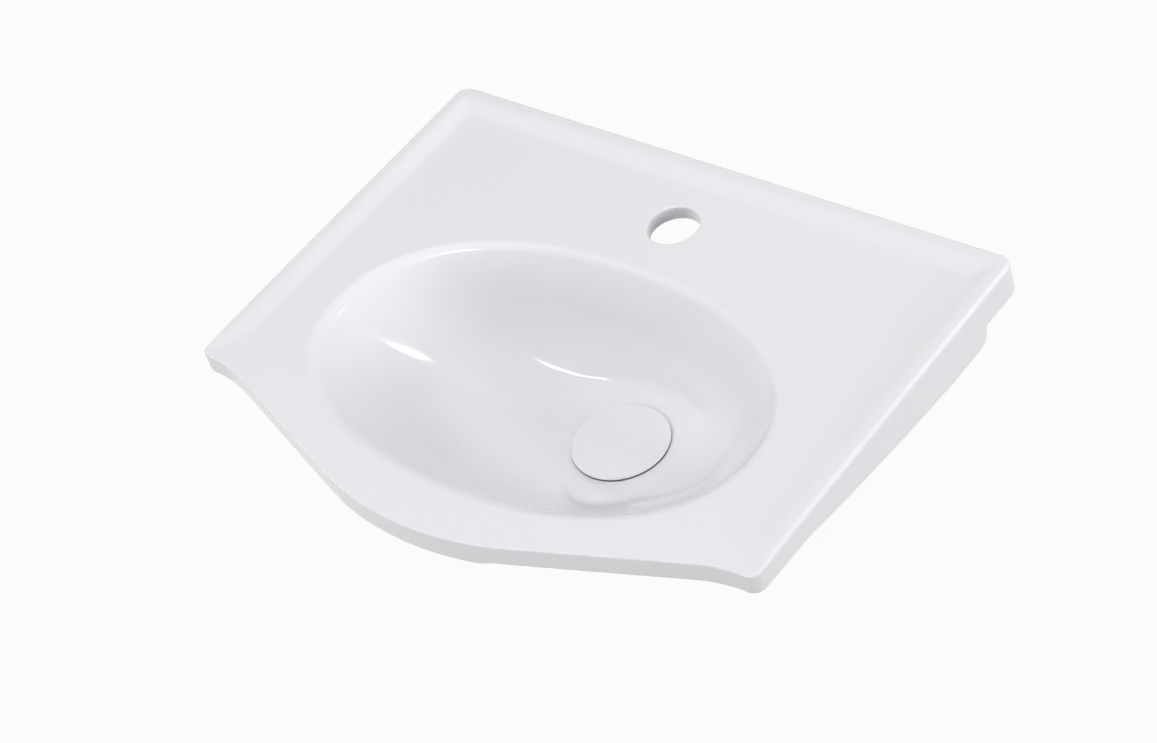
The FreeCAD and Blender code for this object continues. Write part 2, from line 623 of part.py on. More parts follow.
def cap_seal():
    """Rubber ring whose outside lies along the 45 degree mouth, a small gap from it."""
    high = CAP_HOLLOW - SEAL_GAP
    inner = CARRIER_RADIUS + SEAL_FIT
    widest = MOUTH_RADIUS - SEAL_GAP * math.sqrt(2)
    at_foot = widest - (FLANGE_TOP - LIP_TOP)
    return turned([
        (inner, LIP_TOP), (at_foot, LIP_TOP), (widest, FLANGE_TOP), (widest, high), (inner, high),
    ])


def cap_lock_nut():
    body = hexagon(STUD_HOLE + LOCK_NUT_WALL, PLUNGER_TOP, LOCK_NUT_TOP)
    return body.cut(cylinder(STUD_HOLE, PLUNGER_TOP - PAST, LOCK_NUT_TOP + PAST))


# ---- latch ----

def track_leg(side):
    """One leg of the V track, as cutting bodies: the pin's path in the plunger, shut to open."""
    floor = PLUNGER_RADIUS - TRACK_DEPTH
    top = point(floor, DRAIN_Y, PIN_TIP)
    foot = point(floor, DRAIN_Y + PIN_SWAY * side, PIN_TIP - TRAVEL)
    run = foot - top
    across = point(0, -run.z, run.y).normalize() * TRACK_HALF
    lane = polygon([top + across, foot + across, foot - across, top - across])
    return [rod(TRACK_HALF, top, PAST), rod(TRACK_HALF, foot, PAST), lane.extrude(point(PAST, 0, 0))]


def latch_plunger():
    """Rod with a stud hole on top, the V track in its side and a stem for spring and clip."""
    body = cylinder(PLUNGER_RADIUS, PLUNGER_SHOULDER, PLUNGER_TOP)
    body = body.fuse(cylinder(STEM_RADIUS, STEM_END, PLUNGER_SHOULDER))
    stud_hole = cylinder(STUD_HOLE, STUD_END - STUD_END_ROOM, PLUNGER_TOP + PAST)
    groove = ring(STEM_RADIUS - CLIP_GROOVE, STEM_RADIUS + NUDGE, CLIP_UNDER, CLIP_TOP)
    for tool in [stud_hole, groove] + track_leg(1) + track_leg(-1):
        body = body.cut(tool)
    return body.removeSplitter()


def plunger_clip():
    """An open clip snapped into the stem's groove."""
    outer = STEM_RADIUS + CLIP_WIDTH
    half = CLIP_MOUTH / 2
    clip = ring(STEM_RADIUS - CLIP_GROOVE, outer, CLIP_UNDER, CLIP_TOP)
    mouth = block(0, outer + NUDGE, DRAIN_Y - half, DRAIN_Y + half, CLIP_UNDER - NUDGE, CLIP_TOP + NUDGE)
    return clip.cut(mouth)


def latch_spring():
    """Coils between the cage's foot and the plunger's shoulder."""
    wire = SPRING_WIRE / 2
    height = SPRING_LENGTH - SPRING_WIRE - 2 * SPRING_SEAT_GAP
    path = Part.makeHelix(height / SPRING_TURNS, height, SPRING_RADIUS)
    section = Part.Wire(Part.makeCircle(wire, point(SPRING_RADIUS, 0), point(0, 1, 0)))
    coil = Part.Wire(path).makePipeShell([section], True, True)
    coil.translate(point(0, DRAIN_Y, CAGE_FOOT_TOP + wire + SPRING_SEAT_GAP))
    return coil


def latch_pin():
    """Bent wire: pivot end through the cage's wall, upright, tip into the track."""
    tip_end = PLUNGER_RADIUS - TRACK_DEPTH + TIP_ROOM
    upright = cylinder(PIN_WIRE, PIN_PIVOT, PIN_TIP, x=PIN_LANE)
    tip = rod(PIN_WIRE, on_drain(tip_end, PIN_TIP), PIN_LANE - tip_end)
    pivot = rod(PIN_WIRE, on_drain(PIN_LANE, PIN_PIVOT), CAGE_RADIUS - PIN_LANE)
    bends = [Part.makeSphere(PIN_WIRE, on_drain(PIN_LANE, z)) for z in (PIN_PIVOT, PIN_TIP)]
    return upright.fuse([tip, pivot] + bends).removeSplitter()


def latch_cage():
    """Guide tube with a hexagonal collar, a drilled foot and a window for the pin."""
    hole = PIN_WIRE + PIN_FIT
    half = PIN_WIRE + PIN_SWAY + WINDOW_CLEARANCE
    window_top = PIN_TIP + PIN_WIRE + WINDOW_CLEARANCE
    cage = cylinder(CAGE_RADIUS, CAGE_UNDER, CAGE_TOP)
    cage = cage.fuse(hexagon(CAGE_RADIUS + COLLAR_WIDTH, BOSS_TOP, COLLAR_TOP))
    openings = [
        cylinder(PLUNGER_RADIUS + PLUNGER_FIT, CAGE_FOOT_TOP, CAGE_TOP + PAST),
        cylinder(STEM_RADIUS + STEM_FIT, CAGE_UNDER - PAST, CAGE_FOOT_TOP),
        block(0, PIN_LANE + hole, DRAIN_Y - half, DRAIN_Y + half, PIN_PIVOT - hole, window_top),
        rod(hole, on_drain(PIN_LANE, PIN_PIVOT), CAGE_RADIUS),
    ]
    for opening in openings:
        cage = cage.cut(opening)
    return cage.removeSplitter()


PIECES = [
    basin_body, waste_cap, cap_carrier, cap_seal, cap_lock_nut, latch_plunger, plunger_clip,
    latch_spring, latch_pin, latch_cage, waste_body, flange_gasket, under_gasket, slip_washer,
    back_nut,
]


def main():
    """Builds each piece and writes it under its own name."""
    os.makedirs(OUT, exist_ok=True)
    for make in PIECES:
        shape = make()
        shape.exportStep(os.path.join(OUT, make.__name__ + ".step"))
        box = shape.BoundBox
        print(make.__name__, len(shape.Solids), "solid, valid", shape.isValid())
        print(f"  {shape.Volume:.0f} mm3, {box.XLength:.1f} x {box.YLength:.1f} x {box.ZLength:.1f} mm")


main()
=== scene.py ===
"""A small cast hand basin with a push-open waste, dressed over its fixed CAD frame.

Sizes are millimetres until a mesh is written. +Z is up, the wall is the plane y = 0 and the
front is -Y. The drain's axis stands at x = 0, y = DRAIN_Y.
"""

from __future__ import annotations

import logging
import math
from dataclasses import dataclass, field
from enum import Enum

import bmesh
import bpy
import numpy as np
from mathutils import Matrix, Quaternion, Vector

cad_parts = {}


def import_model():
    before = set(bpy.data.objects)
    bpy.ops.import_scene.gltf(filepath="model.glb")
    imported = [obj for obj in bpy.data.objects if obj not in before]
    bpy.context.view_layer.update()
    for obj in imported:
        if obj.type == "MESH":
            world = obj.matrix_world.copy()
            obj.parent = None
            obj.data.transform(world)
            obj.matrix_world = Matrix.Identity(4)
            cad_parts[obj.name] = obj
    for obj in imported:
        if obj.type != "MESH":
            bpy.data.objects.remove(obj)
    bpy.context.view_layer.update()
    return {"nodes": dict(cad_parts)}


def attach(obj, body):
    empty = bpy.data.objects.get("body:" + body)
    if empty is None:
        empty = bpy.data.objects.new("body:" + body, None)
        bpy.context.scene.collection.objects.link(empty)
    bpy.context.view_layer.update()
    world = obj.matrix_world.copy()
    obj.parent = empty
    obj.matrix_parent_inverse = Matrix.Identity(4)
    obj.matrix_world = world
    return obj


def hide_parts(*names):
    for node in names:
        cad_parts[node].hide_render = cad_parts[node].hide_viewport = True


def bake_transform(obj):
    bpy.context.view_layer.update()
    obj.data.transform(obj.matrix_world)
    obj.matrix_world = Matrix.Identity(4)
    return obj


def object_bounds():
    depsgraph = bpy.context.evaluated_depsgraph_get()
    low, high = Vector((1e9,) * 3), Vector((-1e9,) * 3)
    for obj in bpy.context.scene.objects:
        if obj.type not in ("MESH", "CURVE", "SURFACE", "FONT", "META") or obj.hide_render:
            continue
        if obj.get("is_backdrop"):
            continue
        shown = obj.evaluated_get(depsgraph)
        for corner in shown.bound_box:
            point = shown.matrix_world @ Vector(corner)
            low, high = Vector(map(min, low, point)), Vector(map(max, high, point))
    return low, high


Array = np.ndarray
Number = float | Array
Point = tuple[float, float]
Colour = tuple[float, float, float]
Place = tuple[float, float, float]
Piece = bpy.types.Object
Socket = bpy.types.NodeSocket
Sockets = bpy.types.NodeOutputs

METRES = 0.001
WELD = 2e-6
DRAIN_Y = -154.4
WHITE = (1.0, 1.0, 1.0, 1.0)
log = logging.getLogger("basin")


class Body(Enum):
    """The moving bodies of the frame that a piece can ride on."""

    BASIN = "basin"
    COVER = "cover"
    FOLLOWER = "latch_follower"


class Slot(Enum):
    """The record's material slots."""

    BASIN_GLAZE = "basin_glaze"
    COVER_GLAZE = "cover_glaze"
    CARRIER_BRASS = "carrier_brass"
    LATCH_BRASS = "latch_brass"
    NUT_BRASS = "nut_brass"
    SEAL_RUBBER = "seal_rubber"
    BLACK_RUBBER = "black_rubber"
    FOAM_RUBBER = "foam_rubber"
    WHITE_NYLON = "white_nylon"
    WASTE_CHROME = "waste_chrome"
    BRIGHT_STEEL = "bright_steel"
    SPRING_STEEL = "spring_steel"


# ---- curves and surfaces ----


def straight(start: Point, end: Point, count: int) -> Array:
    """Points that share a line evenly, its end left out, as rows of (x, y)."""
    share = np.linspace(0.0, 1.0, count, endpoint=False)[:, None]
    return np.array(start) * (1 - share) + np.array(end) * share


def arc(centre: Point, radius: float, first: float, last: float, count: int) -> Array:
    """Points on a circle: centre plus radius times (cos, sin) of an even run of angles.

    Args:
        centre: Centre of the circle.
        radius: Radius.
        first: First angle in degrees from +X.
        last: Angle where the next piece of the curve starts; its point is left out.
        count: Number of points.
    Returns:
        Array of (x, y), one row a point.
    """
    angle = np.radians(np.linspace(first, last, count, endpoint=False))
    return np.array(centre) + radius * np.stack([np.cos(angle), np.sin(angle)], 1)


def smooth(value: Number, low: float, high: float) -> Number:
    """The S-curve 3t^2 - 2t^3 of how far a value lies from low to high, held at 0 and 1."""
    share = np.clip((value - low) / (high - low), 0.0, 1.0)
    return share * share * (3 - 2 * share)


def quarter(steps: int) -> tuple[Array, Array]:
    """The sine and cosine of even angles from 0 to a right angle, as columns."""
    angle = np.linspace(0.0, math.pi / 2, steps + 1)[:, None]
    return np.sin(angle), np.cos(angle)


def circle_angles(steps: int) -> Array:
    """Even angles once round a circle."""
    return np.linspace(0, 2 * math.pi, steps, endpoint=False)


def unit(vectors: Array) -> Array:
    """Vectors along the last axis, made one long."""
    return vectors / np.linalg.norm(vectors, axis=-1, keepdims=True)


def upright(radius: float, height: Array) -> Array:
    """A profile's stretch at one radius."""
    return np.stack([np.full_like(height, radius), height], 1)


def box(inner: float, outer: float, low: float, high: float) -> list[Point]:
    """The corners of a rectangle, from the lower inner one outwards."""
    return [(inner, low), (outer, low), (outer, high), (inner, high)]


def rounded(corners: list[Point], radii: float | tuple[float, ...], steps: int = 5) -> Array:
    """A closed polygon with each corner made an arc that touches both of its sides.

    The arc's centre lies on the corner's bisector, radius over the sine of half the angle away,
    and the arc turns evenly from one touching point to the other.

    Args:
        corners: Corners in order.
        radii: One radius for all corners or one for each.
        steps: Arc points at each corner.
    Returns:
        The rounded outline, one row a point.
    """
    corners = np.asarray(corners, float)
    radii = np.broadcast_to(np.asarray(radii, float), len(corners))[:, None]
    back = unit(np.roll(corners, 1, 0) - corners)
    ahead = unit(np.roll(corners, -1, 0) - corners)
    half = np.arccos(np.clip((back * ahead).sum(1, keepdims=True), -1, 1)) / 2
    centre = corners + unit(back + ahead) * radii / np.sin(half)
    touch = radii / np.tan(half)
    first = corners + back * touch - centre
    last = corners + ahead * touch - centre
    sweep = (math.pi - 2 * half)[:, None]
    share = np.linspace(0, 1, steps)[None, :, None]
    turned_by = np.sin((1 - share) * sweep) * first[:, None] + np.sin(share * sweep) * last[:, None]
    return (centre[:, None] + turned_by / np.sin(sweep)).reshape(-1, 2)


def lifted(plan: Array, height: Number) -> Array:
    """Rows of points seen from above, with their heights as third number."""
    return np.concatenate([plan, np.broadcast_to(height, plan.shape[:2])[..., None]], -1)


def circles(profile: Array, angle: Array, swell: Number = 0.0) -> Array:
    """Circles about the drain's axis: (r cos a, DRAIN_Y + r sin a, z) of a profile's (r, z).

    Args:
        profile: Radius and height of each circle.
        angle: Angles a of the points round the axis.
        swell: Amount added to the radius, one number or one at each (circle, angle).
    Returns:
        Array of (circles, angles, 3).
    """
    radius = profile[:, :1] + swell
    plan = np.stack([radius * np.cos(angle), DRAIN_Y + radius * np.sin(angle)], -1)
    return lifted(plan, profile[:, 1:])


@dataclass
class Skin:
    """The points and faces of one piece while it is put together, in millimetres."""

    points: list[Array] = field(default_factory=list)
    faces: list[Array] = field(default_factory=list)
    count: int = 0

    def add(self, points: Array) -> Array:
        """Adds points.

        Args:
            points: Array of any shape that ends in x, y, z.
        Returns:
            The new points' numbers, in the same shape without the last axis.
        """
        numbers = self.count + np.arange(points[..., 0].size).reshape(points.shape[:-1])
        self.points.append(points.reshape(-1, 3))
        self.count += numbers.size
        return numbers

    def quads(self, numbers: Array, around: bool = True, along: bool = False) -> Array:
        """The quads between neighbouring rows and columns of a grid of point numbers.

        Args:
            numbers: Grid of point numbers.
            around: Whether the last column meets the first.
            along: Whether the last row meets the first.
        Returns:
            Array of (rows, columns, 4) point numbers.
        """
        rows = np.concatenate([numbers, numbers[:1]], 0) if along else numbers
        grid = np.concatenate([rows, rows[:, :1]], 1) if around else rows
        return np.stack([grid[:-1, :-1], grid[:-1, 1:], grid[1:, 1:], grid[1:, :-1]], -1)

    def cover(self, numbers: Array, around: bool = True, along: bool = False) -> None:
        """Adds the quads of a grid of point numbers; see quads."""
        self.faces.append(self.quads(numbers, around, along).reshape(-1, 4))

    def bar(self, rows: Array, first: Array, last: Array) -> None:
        """Adds a bar of closed rows of points, each end a fan of triangles to a tip point.

        Args:
            rows: Array of (rows, points, 3).
            first: Tip at the first row.
            last: Tip at the last row.
        """
        numbers = self.add(rows)
        self.cover(numbers)
        for row, tip in ((numbers[0], first), (numbers[-1][::-1], last)):
            end = self.add(tip[None])
            self.faces.append(np.stack([row, np.roll(row, -1), np.full_like(row, end[0])], -1))

    def turn(self, profile: Array, steps: int = 96, swell: Number = 0.0, closed: bool = True) -> Skin:
        """Adds a profile turned about the drain's axis; points at radius 0 weld into a pole.

        Args:
            profile: Outline of (radius, height).
            steps: Points round the axis.
            swell: Amount added to the radius; see circles.
            closed: Whether the profile's end meets its start.
        Returns:
            This skin.
        """
        self.cover(self.add(circles(profile, circle_angles(steps), swell)), along=closed)
        return self

    def wire(self, path: Array, radius: float, steps: int) -> Skin:
        """Adds a round wire along a path, with closed round ends.

        Round each path point lies a circle across the path's direction. Its first axis is the
        direction's cross product with one fixed vector, and the radius shrinks as a half circle
        beyond the first and last points.

        Args:
            path: Path points, one row each.
            radius: Wire radius.
            steps: Points round the wire.
        Returns:
            This skin.
        """
        along = unit(np.gradient(path, axis=0))
        side = unit(np.cross(along, np.array([0.31, 0.95, 0.05])))
        other = np.cross(along, side)
        angle = circle_angles(steps)[None, :, None]
        ring = np.cos(angle) * side[:, None] + np.sin(angle) * other[:, None]
        bend = np.radians(np.array([75.0, 45.0, 20.0]))[:, None, None]
        near, far = radius * np.cos(bend), radius * np.sin(bend)
        start = path[:1, None] - along[:1, None] * far + ring[:1] * near
        end = path[-1:, None] + along[-1:, None] * far + ring[-1:] * near
        rows = np.concatenate([start, path[:, None] + radius * ring, end[::-1]], 0)
        self.bar(rows, path[0] - along[0] * radius, path[-1] + along[-1] * radius)
        return self

    def mesh(self, name: str) -> Piece:
        """Writes the mesh in metres, welds its seams and points its faces outwards.

        Args:
            name: Name of the piece.
        Returns:
            The new object, at the origin.
        """
        data = bpy.data.meshes.new(name)
        rows = [face for part in self.faces for face in part.tolist()]
        data.from_pydata((np.concatenate(self.points) * METRES).tolist(), [], rows)
        work = bmesh.new()
        work.from_mesh(data)
        bmesh.ops.remove_doubles(work, verts=work.verts, dist=WELD)
        bmesh.ops.recalc_face_normals(work, faces=work.faces)
        work.to_mesh(data)
        work.free()
        data.polygons.foreach_set("use_smooth", np.ones(len(data.polygons), bool))
        made = bpy.data.objects.new(name, data)
        bpy.context.scene.collection.objects.link(made)
        return made


def hexagon(flats: float, steps: int, power: float = 60.0) -> Array:
    """The radius of a hexagon at even angles, its corners a little rounded.

    It is the smooth least, by a power mean, of the distances to the six sides' lines.

    Args:
        flats: Distance from the middle to the flats.
        steps: Number of angles.
        power: Power of the mean; a larger one gives sharper corners.
    Returns:
        One radius an angle.
    """
    sides = np.radians(30.0 + 60.0 * np.arange(6))
    reach = np.maximum(np.cos(circle_angles(steps)[:, None] - sides), 0.0) / flats
    return (reach**power).sum(1) ** (-1 / power)


def thread(height: Array, steps: int, pitch: float, deep: float, low: float, high: float) -> Array:
    """How far a screw thread's flanks lie inside its crest.

    The depth is a rounded triangle wave of height over pitch less the turn's share of a circle,
    and fades out over half a pitch at both ends.

    Args:
        height: Heights of the profile's points.
        steps: Points round the axis.
        pitch: Rise of one turn.
        deep: Crest to root.
        low: Lower end of the thread.
        high: Upper end of the thread.
    Returns:
        Array of (height, step) with values from -deep to 0.
    """
    phase = height[:, None] / pitch - circle_angles(steps) / (2 * math.pi)
    wave = smooth(0.5 - 0.5 * np.cos(2 * math.pi * phase), 0.12, 0.88)
    ends = smooth(height, low, low + pitch / 2) * smooth(-height, -high, pitch / 2 - high)
    return -deep * wave * ends[:, None]


def hex_nut(name: str, flats: float, hole: float, low: float, high: float, bevel: float,
            top_bevel: float, flange: Point | None = None) -> Piece:
    """A hexagon nut: the hexagon's radius, held inside a cone at both ends.

    Args:
        name: Name of the piece.
        flats: Distance from the axis to the flats.
        hole: Radius of the bore.
        low: Height of the underside.
        high: Height of the top.
        bevel: Height of the cone at the lower corners.
        top_bevel: The same at the upper corners, without a flange.
        flange: Radius and thickness of a round flange on top.
    Returns:
        The finished object.
    """
    steps, slope, mouth = 180, 1.6, 0.8
    corner = flats / math.cos(math.radians(30))
    foot = high - flange[1] if flange else high
    z = np.concatenate([np.linspace(low, low + bevel, 5), np.linspace(low + bevel, foot - top_bevel, 6)[1:],
                        np.linspace(foot - top_bevel, foot, 5)[1:]])
    limit = np.minimum(corner - (low + bevel - z) * slope, corner)
    if not flange:
        limit = np.minimum(limit, corner - (z - high + top_bevel) * slope)
    sides = np.minimum(hexagon(flats, steps), limit[:, None])
    bore = [(hole + mouth, high), (hole, high - mouth), (hole, low + mouth), (hole + mouth, low)]
    rest = [rounded(bore, 0.1, 2)]
    if flange:
        rim = [(flats - 2, foot), (flange[0], foot), (flange[0], high), (hole + mouth, high)]
        rest.insert(0, rounded(rim, (0.1, 0.5, 0.5, 0.3))[5:])
    profile = np.concatenate([upright(0.0, z), *rest])
    swell = np.zeros((len(profile), steps))
    swell[: len(z)] = sides
    return Skin().turn(profile, steps, swell).mesh(name)


# ---- the basin body ----


@dataclass(frozen=True)
class BasinSizes:
    """Sizes of the cast body in millimetres, the same as the model's."""

    half_width: float = 225.0
    rim_rise: float = 5.0
    rim_fall: float = 3.6
    rim_fade: float = 32.0
    rim_crest: float = 7.5
    rim_foot: float = 22.5
    rim_inset: float = 24.0
    rim_full: float = 1.8
    rim_spread: float = 1.05
    deck_spread: float = 0.97
    deck: float = 7.0
    ceiling: float = -4.0
    ledge: float = -12.0
    ledge_depth: float = 40.0
    front_foot: float = -9.0
    skirt_foot: float = -27.5
    skirt_flat_end: float = -80.0
    skirt_front: float = -231.88
    skirt_bulge: float = 1.8
    heel: float = 10.0
    heel_face: float = 0.6
    side_hold: float = -32.0
    edge_wall: float = 12.0
    bow_radius: float = 225.0
    bow_y: float = -115.0
    flare_radius: float = 100.0
    flare_angle: float = 20.0
    flare_x: float = 217.0
    flare_y: float = -381.88
    front_corner: float = 8.0
    back_corner: float = 10.0
    least_corner: float = 2.5
    inner_corner: float = 4.0
    lip_half: float = 66.0
    lip_drop: float = 2.4
    lip_fade: float = 14.0
    tap_y: float = -56.0
    tap_radius: float = 17.5
    tap_round: float = 1.2
    tap_half: float = 30.0
    tap_margin: float = 6.5
    nut_room: float = 34.0
    spreader_wall: float = 12.0
    spreader_inner: float = 38.0
    spreader_length: float = 177.0
    spreader_rounds: tuple[float, ...] = (3.0, 9.0, 1.0, 1.0)
    bowl_depth: float = 110.0
    bowl_back: float = -102.0
    bowl_front: float = -302.0
    bowl_half: float = 167.0
    back_lean: float = 0.04
    back_fillet: float = 13.0
    brim: float = 5.0
    floor_radius: float = 35.0
    side_curve: float = 1.7
    front_curve: float = 1.2
    waist_curve: float = 1.3
    row_curve: float = 1.8
    brim_squareness: float = 2.2
    floor_squareness: float = 2.0
    shell_wall: float = 11.0
    shell_round: float = 3.0
    foot_round: float = 2.0
    floor_pad: float = 9.0
    floor: float = -103.0
    floor_under: float = -115.0
    floor_edge: float = 34.6
    seat: float = -106.6
    seat_radius: float = 33.0
    drain_radius: float = 22.755
    drain_rounds: tuple[float, ...] = (0.9, 0.8, 0.7, 1.5)
    pad_radii: tuple[float, ...] = (24.955, 33.0, 42.5)
    front_edge: float = 1.3
    side_edge: float = 3.0
    foot_edge: float = 2.5
    skirt_edge: float = 8.0


@dataclass(frozen=True)
class Counts:
    """Lines from the drain to each stretch of the outline's right half, then rows of the section.

    The side's six stretches run from the front corner to the back one; see _side_stations.
    """

    bow: int = 30
    tangent: int = 12
    flare: int = 16
    front_corner: int = 8
    side: tuple[int, ...] = (12, 34, 6, 9, 6, 9)
    back_corner: int = 8
    back: int = 34
    tap: int = 11
    edge_rows: int = 7
    rim_rows: int = 18
    flat_rows: int = 24
    window_rows: int = 8
    brim_rows: int = 9
    wall_rows: int = 58
    shell_rows: int = 44
    drain_rows: int = 4
    round_rows: int = 5
    foot_rows: int = 8


class BasinBody:
    """The cast, glazed body as one closed surface on lines that run out from the drain.

    The surface is a grid. One parameter picks a line from the drain to a point of the outline.
    The other follows the section along it: rim, deck, brim, bowl, floor, drain hole, underside
    of the bowl, hollow, edge foot and edge face, back to the rim.
    """

    def __init__(self, sizes: BasinSizes = BasinSizes(), counts: Counts = Counts()) -> None:
        """Works out the outline and the lines that all sections share.

        Args:
            sizes: Sizes of the body.
            counts: Numbers of lines and rows.
        """
        self.size = sizes
        self.count = counts
        self.flare_top = sizes.flare_y + sizes.flare_radius
        self.side_stations = self._side_stations()
        insets = np.arange(0.0, sizes.rim_inset + 1)
        self.family = np.stack([self._mirrored(self._outline(inset)) for inset in insets])
        self.edge = self.family[0]
        x, y = self.family[-1].T
        waist, half = self._waist(1.0), sizes.bowl_half + sizes.brim
        self.turns = np.arctan2((y - waist) / (sizes.bowl_back + sizes.brim - waist), x / half)
        self.rise = self._rim_rise()
        self.foot = self._foot_height()

    # -- curves seen from above --

    def _side_stations(self) -> Array:
        """The y of each line along the side, close together at the skirt's heel and its steep face."""
        size, count = self.size, self.count.side
        heel, full = -size.ledge_depth, -size.ledge_depth - size.heel
        front, flat = size.skirt_front - 8, size.skirt_flat_end + 6
        sine = np.sin(np.linspace(0, math.pi / 2, count[3], endpoint=False))
        return np.concatenate([
            np.linspace(self.flare_top + size.front_corner, front, count[0], endpoint=False),
            np.linspace(front, flat, count[1], endpoint=False),
            np.linspace(flat, full, count[2], endpoint=False),
            full + (size.heel - size.heel_face) * sine,
            heel + size.heel_face * np.linspace(-1, 1, count[4]),
            np.linspace(heel + 2, -size.back_corner, count[5], endpoint=False),
        ])

    def _front_half(self, inset: float, corner: float) -> tuple[list[Array], float]:
        """The right half of the front edge, drawn in by an inset.

        The bow's radius loses the inset and the hollow flare's gains it. The corner's circle
        touches the flare and the side line.

        Args:
            inset: Distance inside the outline.
            corner: Radius of the front corner.
        Returns:
            The stretches of the curve, and the y where the side starts.
        """
        size, count = self.size, self.count
        bow, flare = size.bow_radius - inset, size.flare_radius + inset
        sine, cosine = math.sin(math.radians(size.flare_angle)), math.cos(math.radians(size.flare_angle))
        bow_end = (bow * sine, size.bow_y - bow * cosine)
        flare_start = (size.flare_x - flare * sine, size.flare_y + flare * cosine)
        corner_x = size.half_width - inset - corner
        across = corner_x - size.flare_x
        corner_y = size.flare_y + math.sqrt((flare + corner) ** 2 - across**2)
        flare_end = math.degrees(math.atan2(corner_y - size.flare_y, across))
        parts = [
            arc((0.0, size.bow_y), bow, -90, -90 + size.flare_angle, count.bow),
            straight(bow_end, flare_start, count.tangent),
            arc((size.flare_x, size.flare_y), flare, 90 + size.flare_angle, flare_end, count.flare),
            arc((corner_x, corner_y), corner, flare_end - 180, 0, count.front_corner),
        ]
        return parts, corner_y

    def _outline(self, inset: float) -> Array:
        """The right half of the outline from the front middle to the back middle, drawn in."""
        size, count = self.size, self.count
        back = max(size.back_corner - inset, size.least_corner)
        parts, start = self._front_half(inset, max(size.front_corner - inset, size.least_corner))
        side, end = size.half_width - inset, -inset - back
        held = [self.side_stations[0], size.skirt_front, size.side_hold, -size.back_corner]
        y = np.interp(self.side_stations, held, [start, size.skirt_front, size.side_hold, end])
        parts += [
            np.stack([np.full_like(y, side), y], 1),
            arc((side - back, end), back, 0, 90, count.back_corner),
            straight((side - back, -inset), (size.tap_half, -inset), count.back),
            straight((size.tap_half, -inset), (0.0, -inset), count.tap),
        ]
        return np.concatenate([*parts, [(0.0, -inset)]])

    def _hollow(self, extra: float) -> Array:
        """The right half of the hollow's edge: inside the edge wall, the ledge and the nut's room.

        Args:
            extra: Distance further in than the edge wall.
        Returns:
            Array of (x, y), as many rows as the outline's right half.
        """
        size, count = self.size, self.count
        corner = max(size.inner_corner - extra, 1.0)
        parts, start = self._front_half(size.edge_wall + extra, corner)
        side, shelf = size.half_width - size.edge_wall - extra, -size.ledge_depth - extra
        before = self.side_stations < 1.0 - size.ledge_depth
        stations = self.side_stations[before]
        heel = -size.ledge_depth - size.heel
        y = np.interp(stations, [stations[0], size.skirt_front, heel, stations[-1]],
                      [start, size.skirt_front, heel, shelf - corner])
        nut, rise = size.nut_room - extra, shelf - size.tap_y
        nut_x = math.sqrt(nut**2 - rise**2)
        parts += [
            np.stack([np.full_like(y, side), y], 1),
            arc((side - corner, shelf - corner), corner, 10, 90, (~before).sum()),
            straight((side - corner, shelf), (nut_x, shelf), count.back_corner + count.back),
            arc((0.0, size.tap_y), nut, math.degrees(math.atan2(rise, nut_x)), 90, count.tap),
        ]
        return np.concatenate([*parts, [(0.0, size.tap_y + nut)]])

    @staticmethod
    def _mirrored(half: Array) -> Array:
        """A right half and its mirror image, as one closed curve."""
        return np.concatenate([half, half[-2:0:-1] * (-1, 1)])

    def drawn_in(self, inset: Array) -> Array:
        """The outline drawn in by an inset, which may differ from line to line.

        Args:
            inset: Insets as rows of one number or of one a line.
        Returns:
            Array of (rows, lines, 2), straight shares between the outlines of whole insets.
        """
        inset = np.broadcast_to(inset, (len(inset), len(self.edge)))
        low = np.clip(inset.astype(int), 0, len(self.family) - 2)
        share = (inset - low)[..., None]
        line = np.arange(len(self.edge))[None]
        return self.family[low, line] * (1 - share) + self.family[low + 1, line] * share

    # -- heights --

    def _rim_rise(self) -> Array:
        """How far the rim's crest stands over the deck at each line, falling to the front."""
        size = self.size
        y = self.edge[:, 1]
        slope = size.rim_rise - size.rim_fall * y / self.flare_top
        return slope * smooth(y, self.flare_top, self.flare_top + size.rim_fade)

    def _foot_height(self) -> Array:
        """The height of the edge's foot at each line: the band, the skirts and the front lip.

        The skirt falls straight from the band with a parabola's bulge, then a quarter circle
        and a steep face lift it to the ledge.

        Returns:
            One height a line.
        """
        size = self.size
        x, y = self.edge.T
        back = -size.ledge_depth
        band = np.interp(y, [self.flare_top, back], [size.front_foot, size.ledge])
        share = np.clip((y - size.skirt_front) / (size.skirt_flat_end - size.skirt_front), 0, 1)
        skirt = size.front_foot + (size.skirt_foot - size.front_foot) * share
        skirt = skirt - size.skirt_bulge * 4 * share * (1 - share)
        into = np.clip((y - back + size.heel) / size.heel, 0, 0.999)
        skirt = skirt + size.heel * (1 - np.sqrt(1 - into**2))
        face = (y - back + size.heel_face) / (2 * size.heel_face)
        top = size.skirt_foot + size.heel
        skirt = np.where(face > 0, top + (size.ledge - top) * np.clip(face, 0, 1), skirt)
        on_side = (y > size.skirt_front) & (np.abs(x) > size.half_width - size.back_corner)
        foot = np.where(on_side, np.minimum(band, skirt), band)
        lip = size.lip_drop * smooth(size.lip_half - np.abs(x), 0.0, size.lip_fade)
        return foot - np.where(y < self.flare_top, lip, 0.0)

    # -- the bowl --

    def _waist(self, share: Number) -> Number:
        """The y of the bowl's widest line, from the drain at share 0 to the brim's middle at 1."""
        middle = (self.size.bowl_back + self.size.bowl_front) / 2
        return DRAIN_Y + (middle - DRAIN_Y) * share**self.size.waist_curve

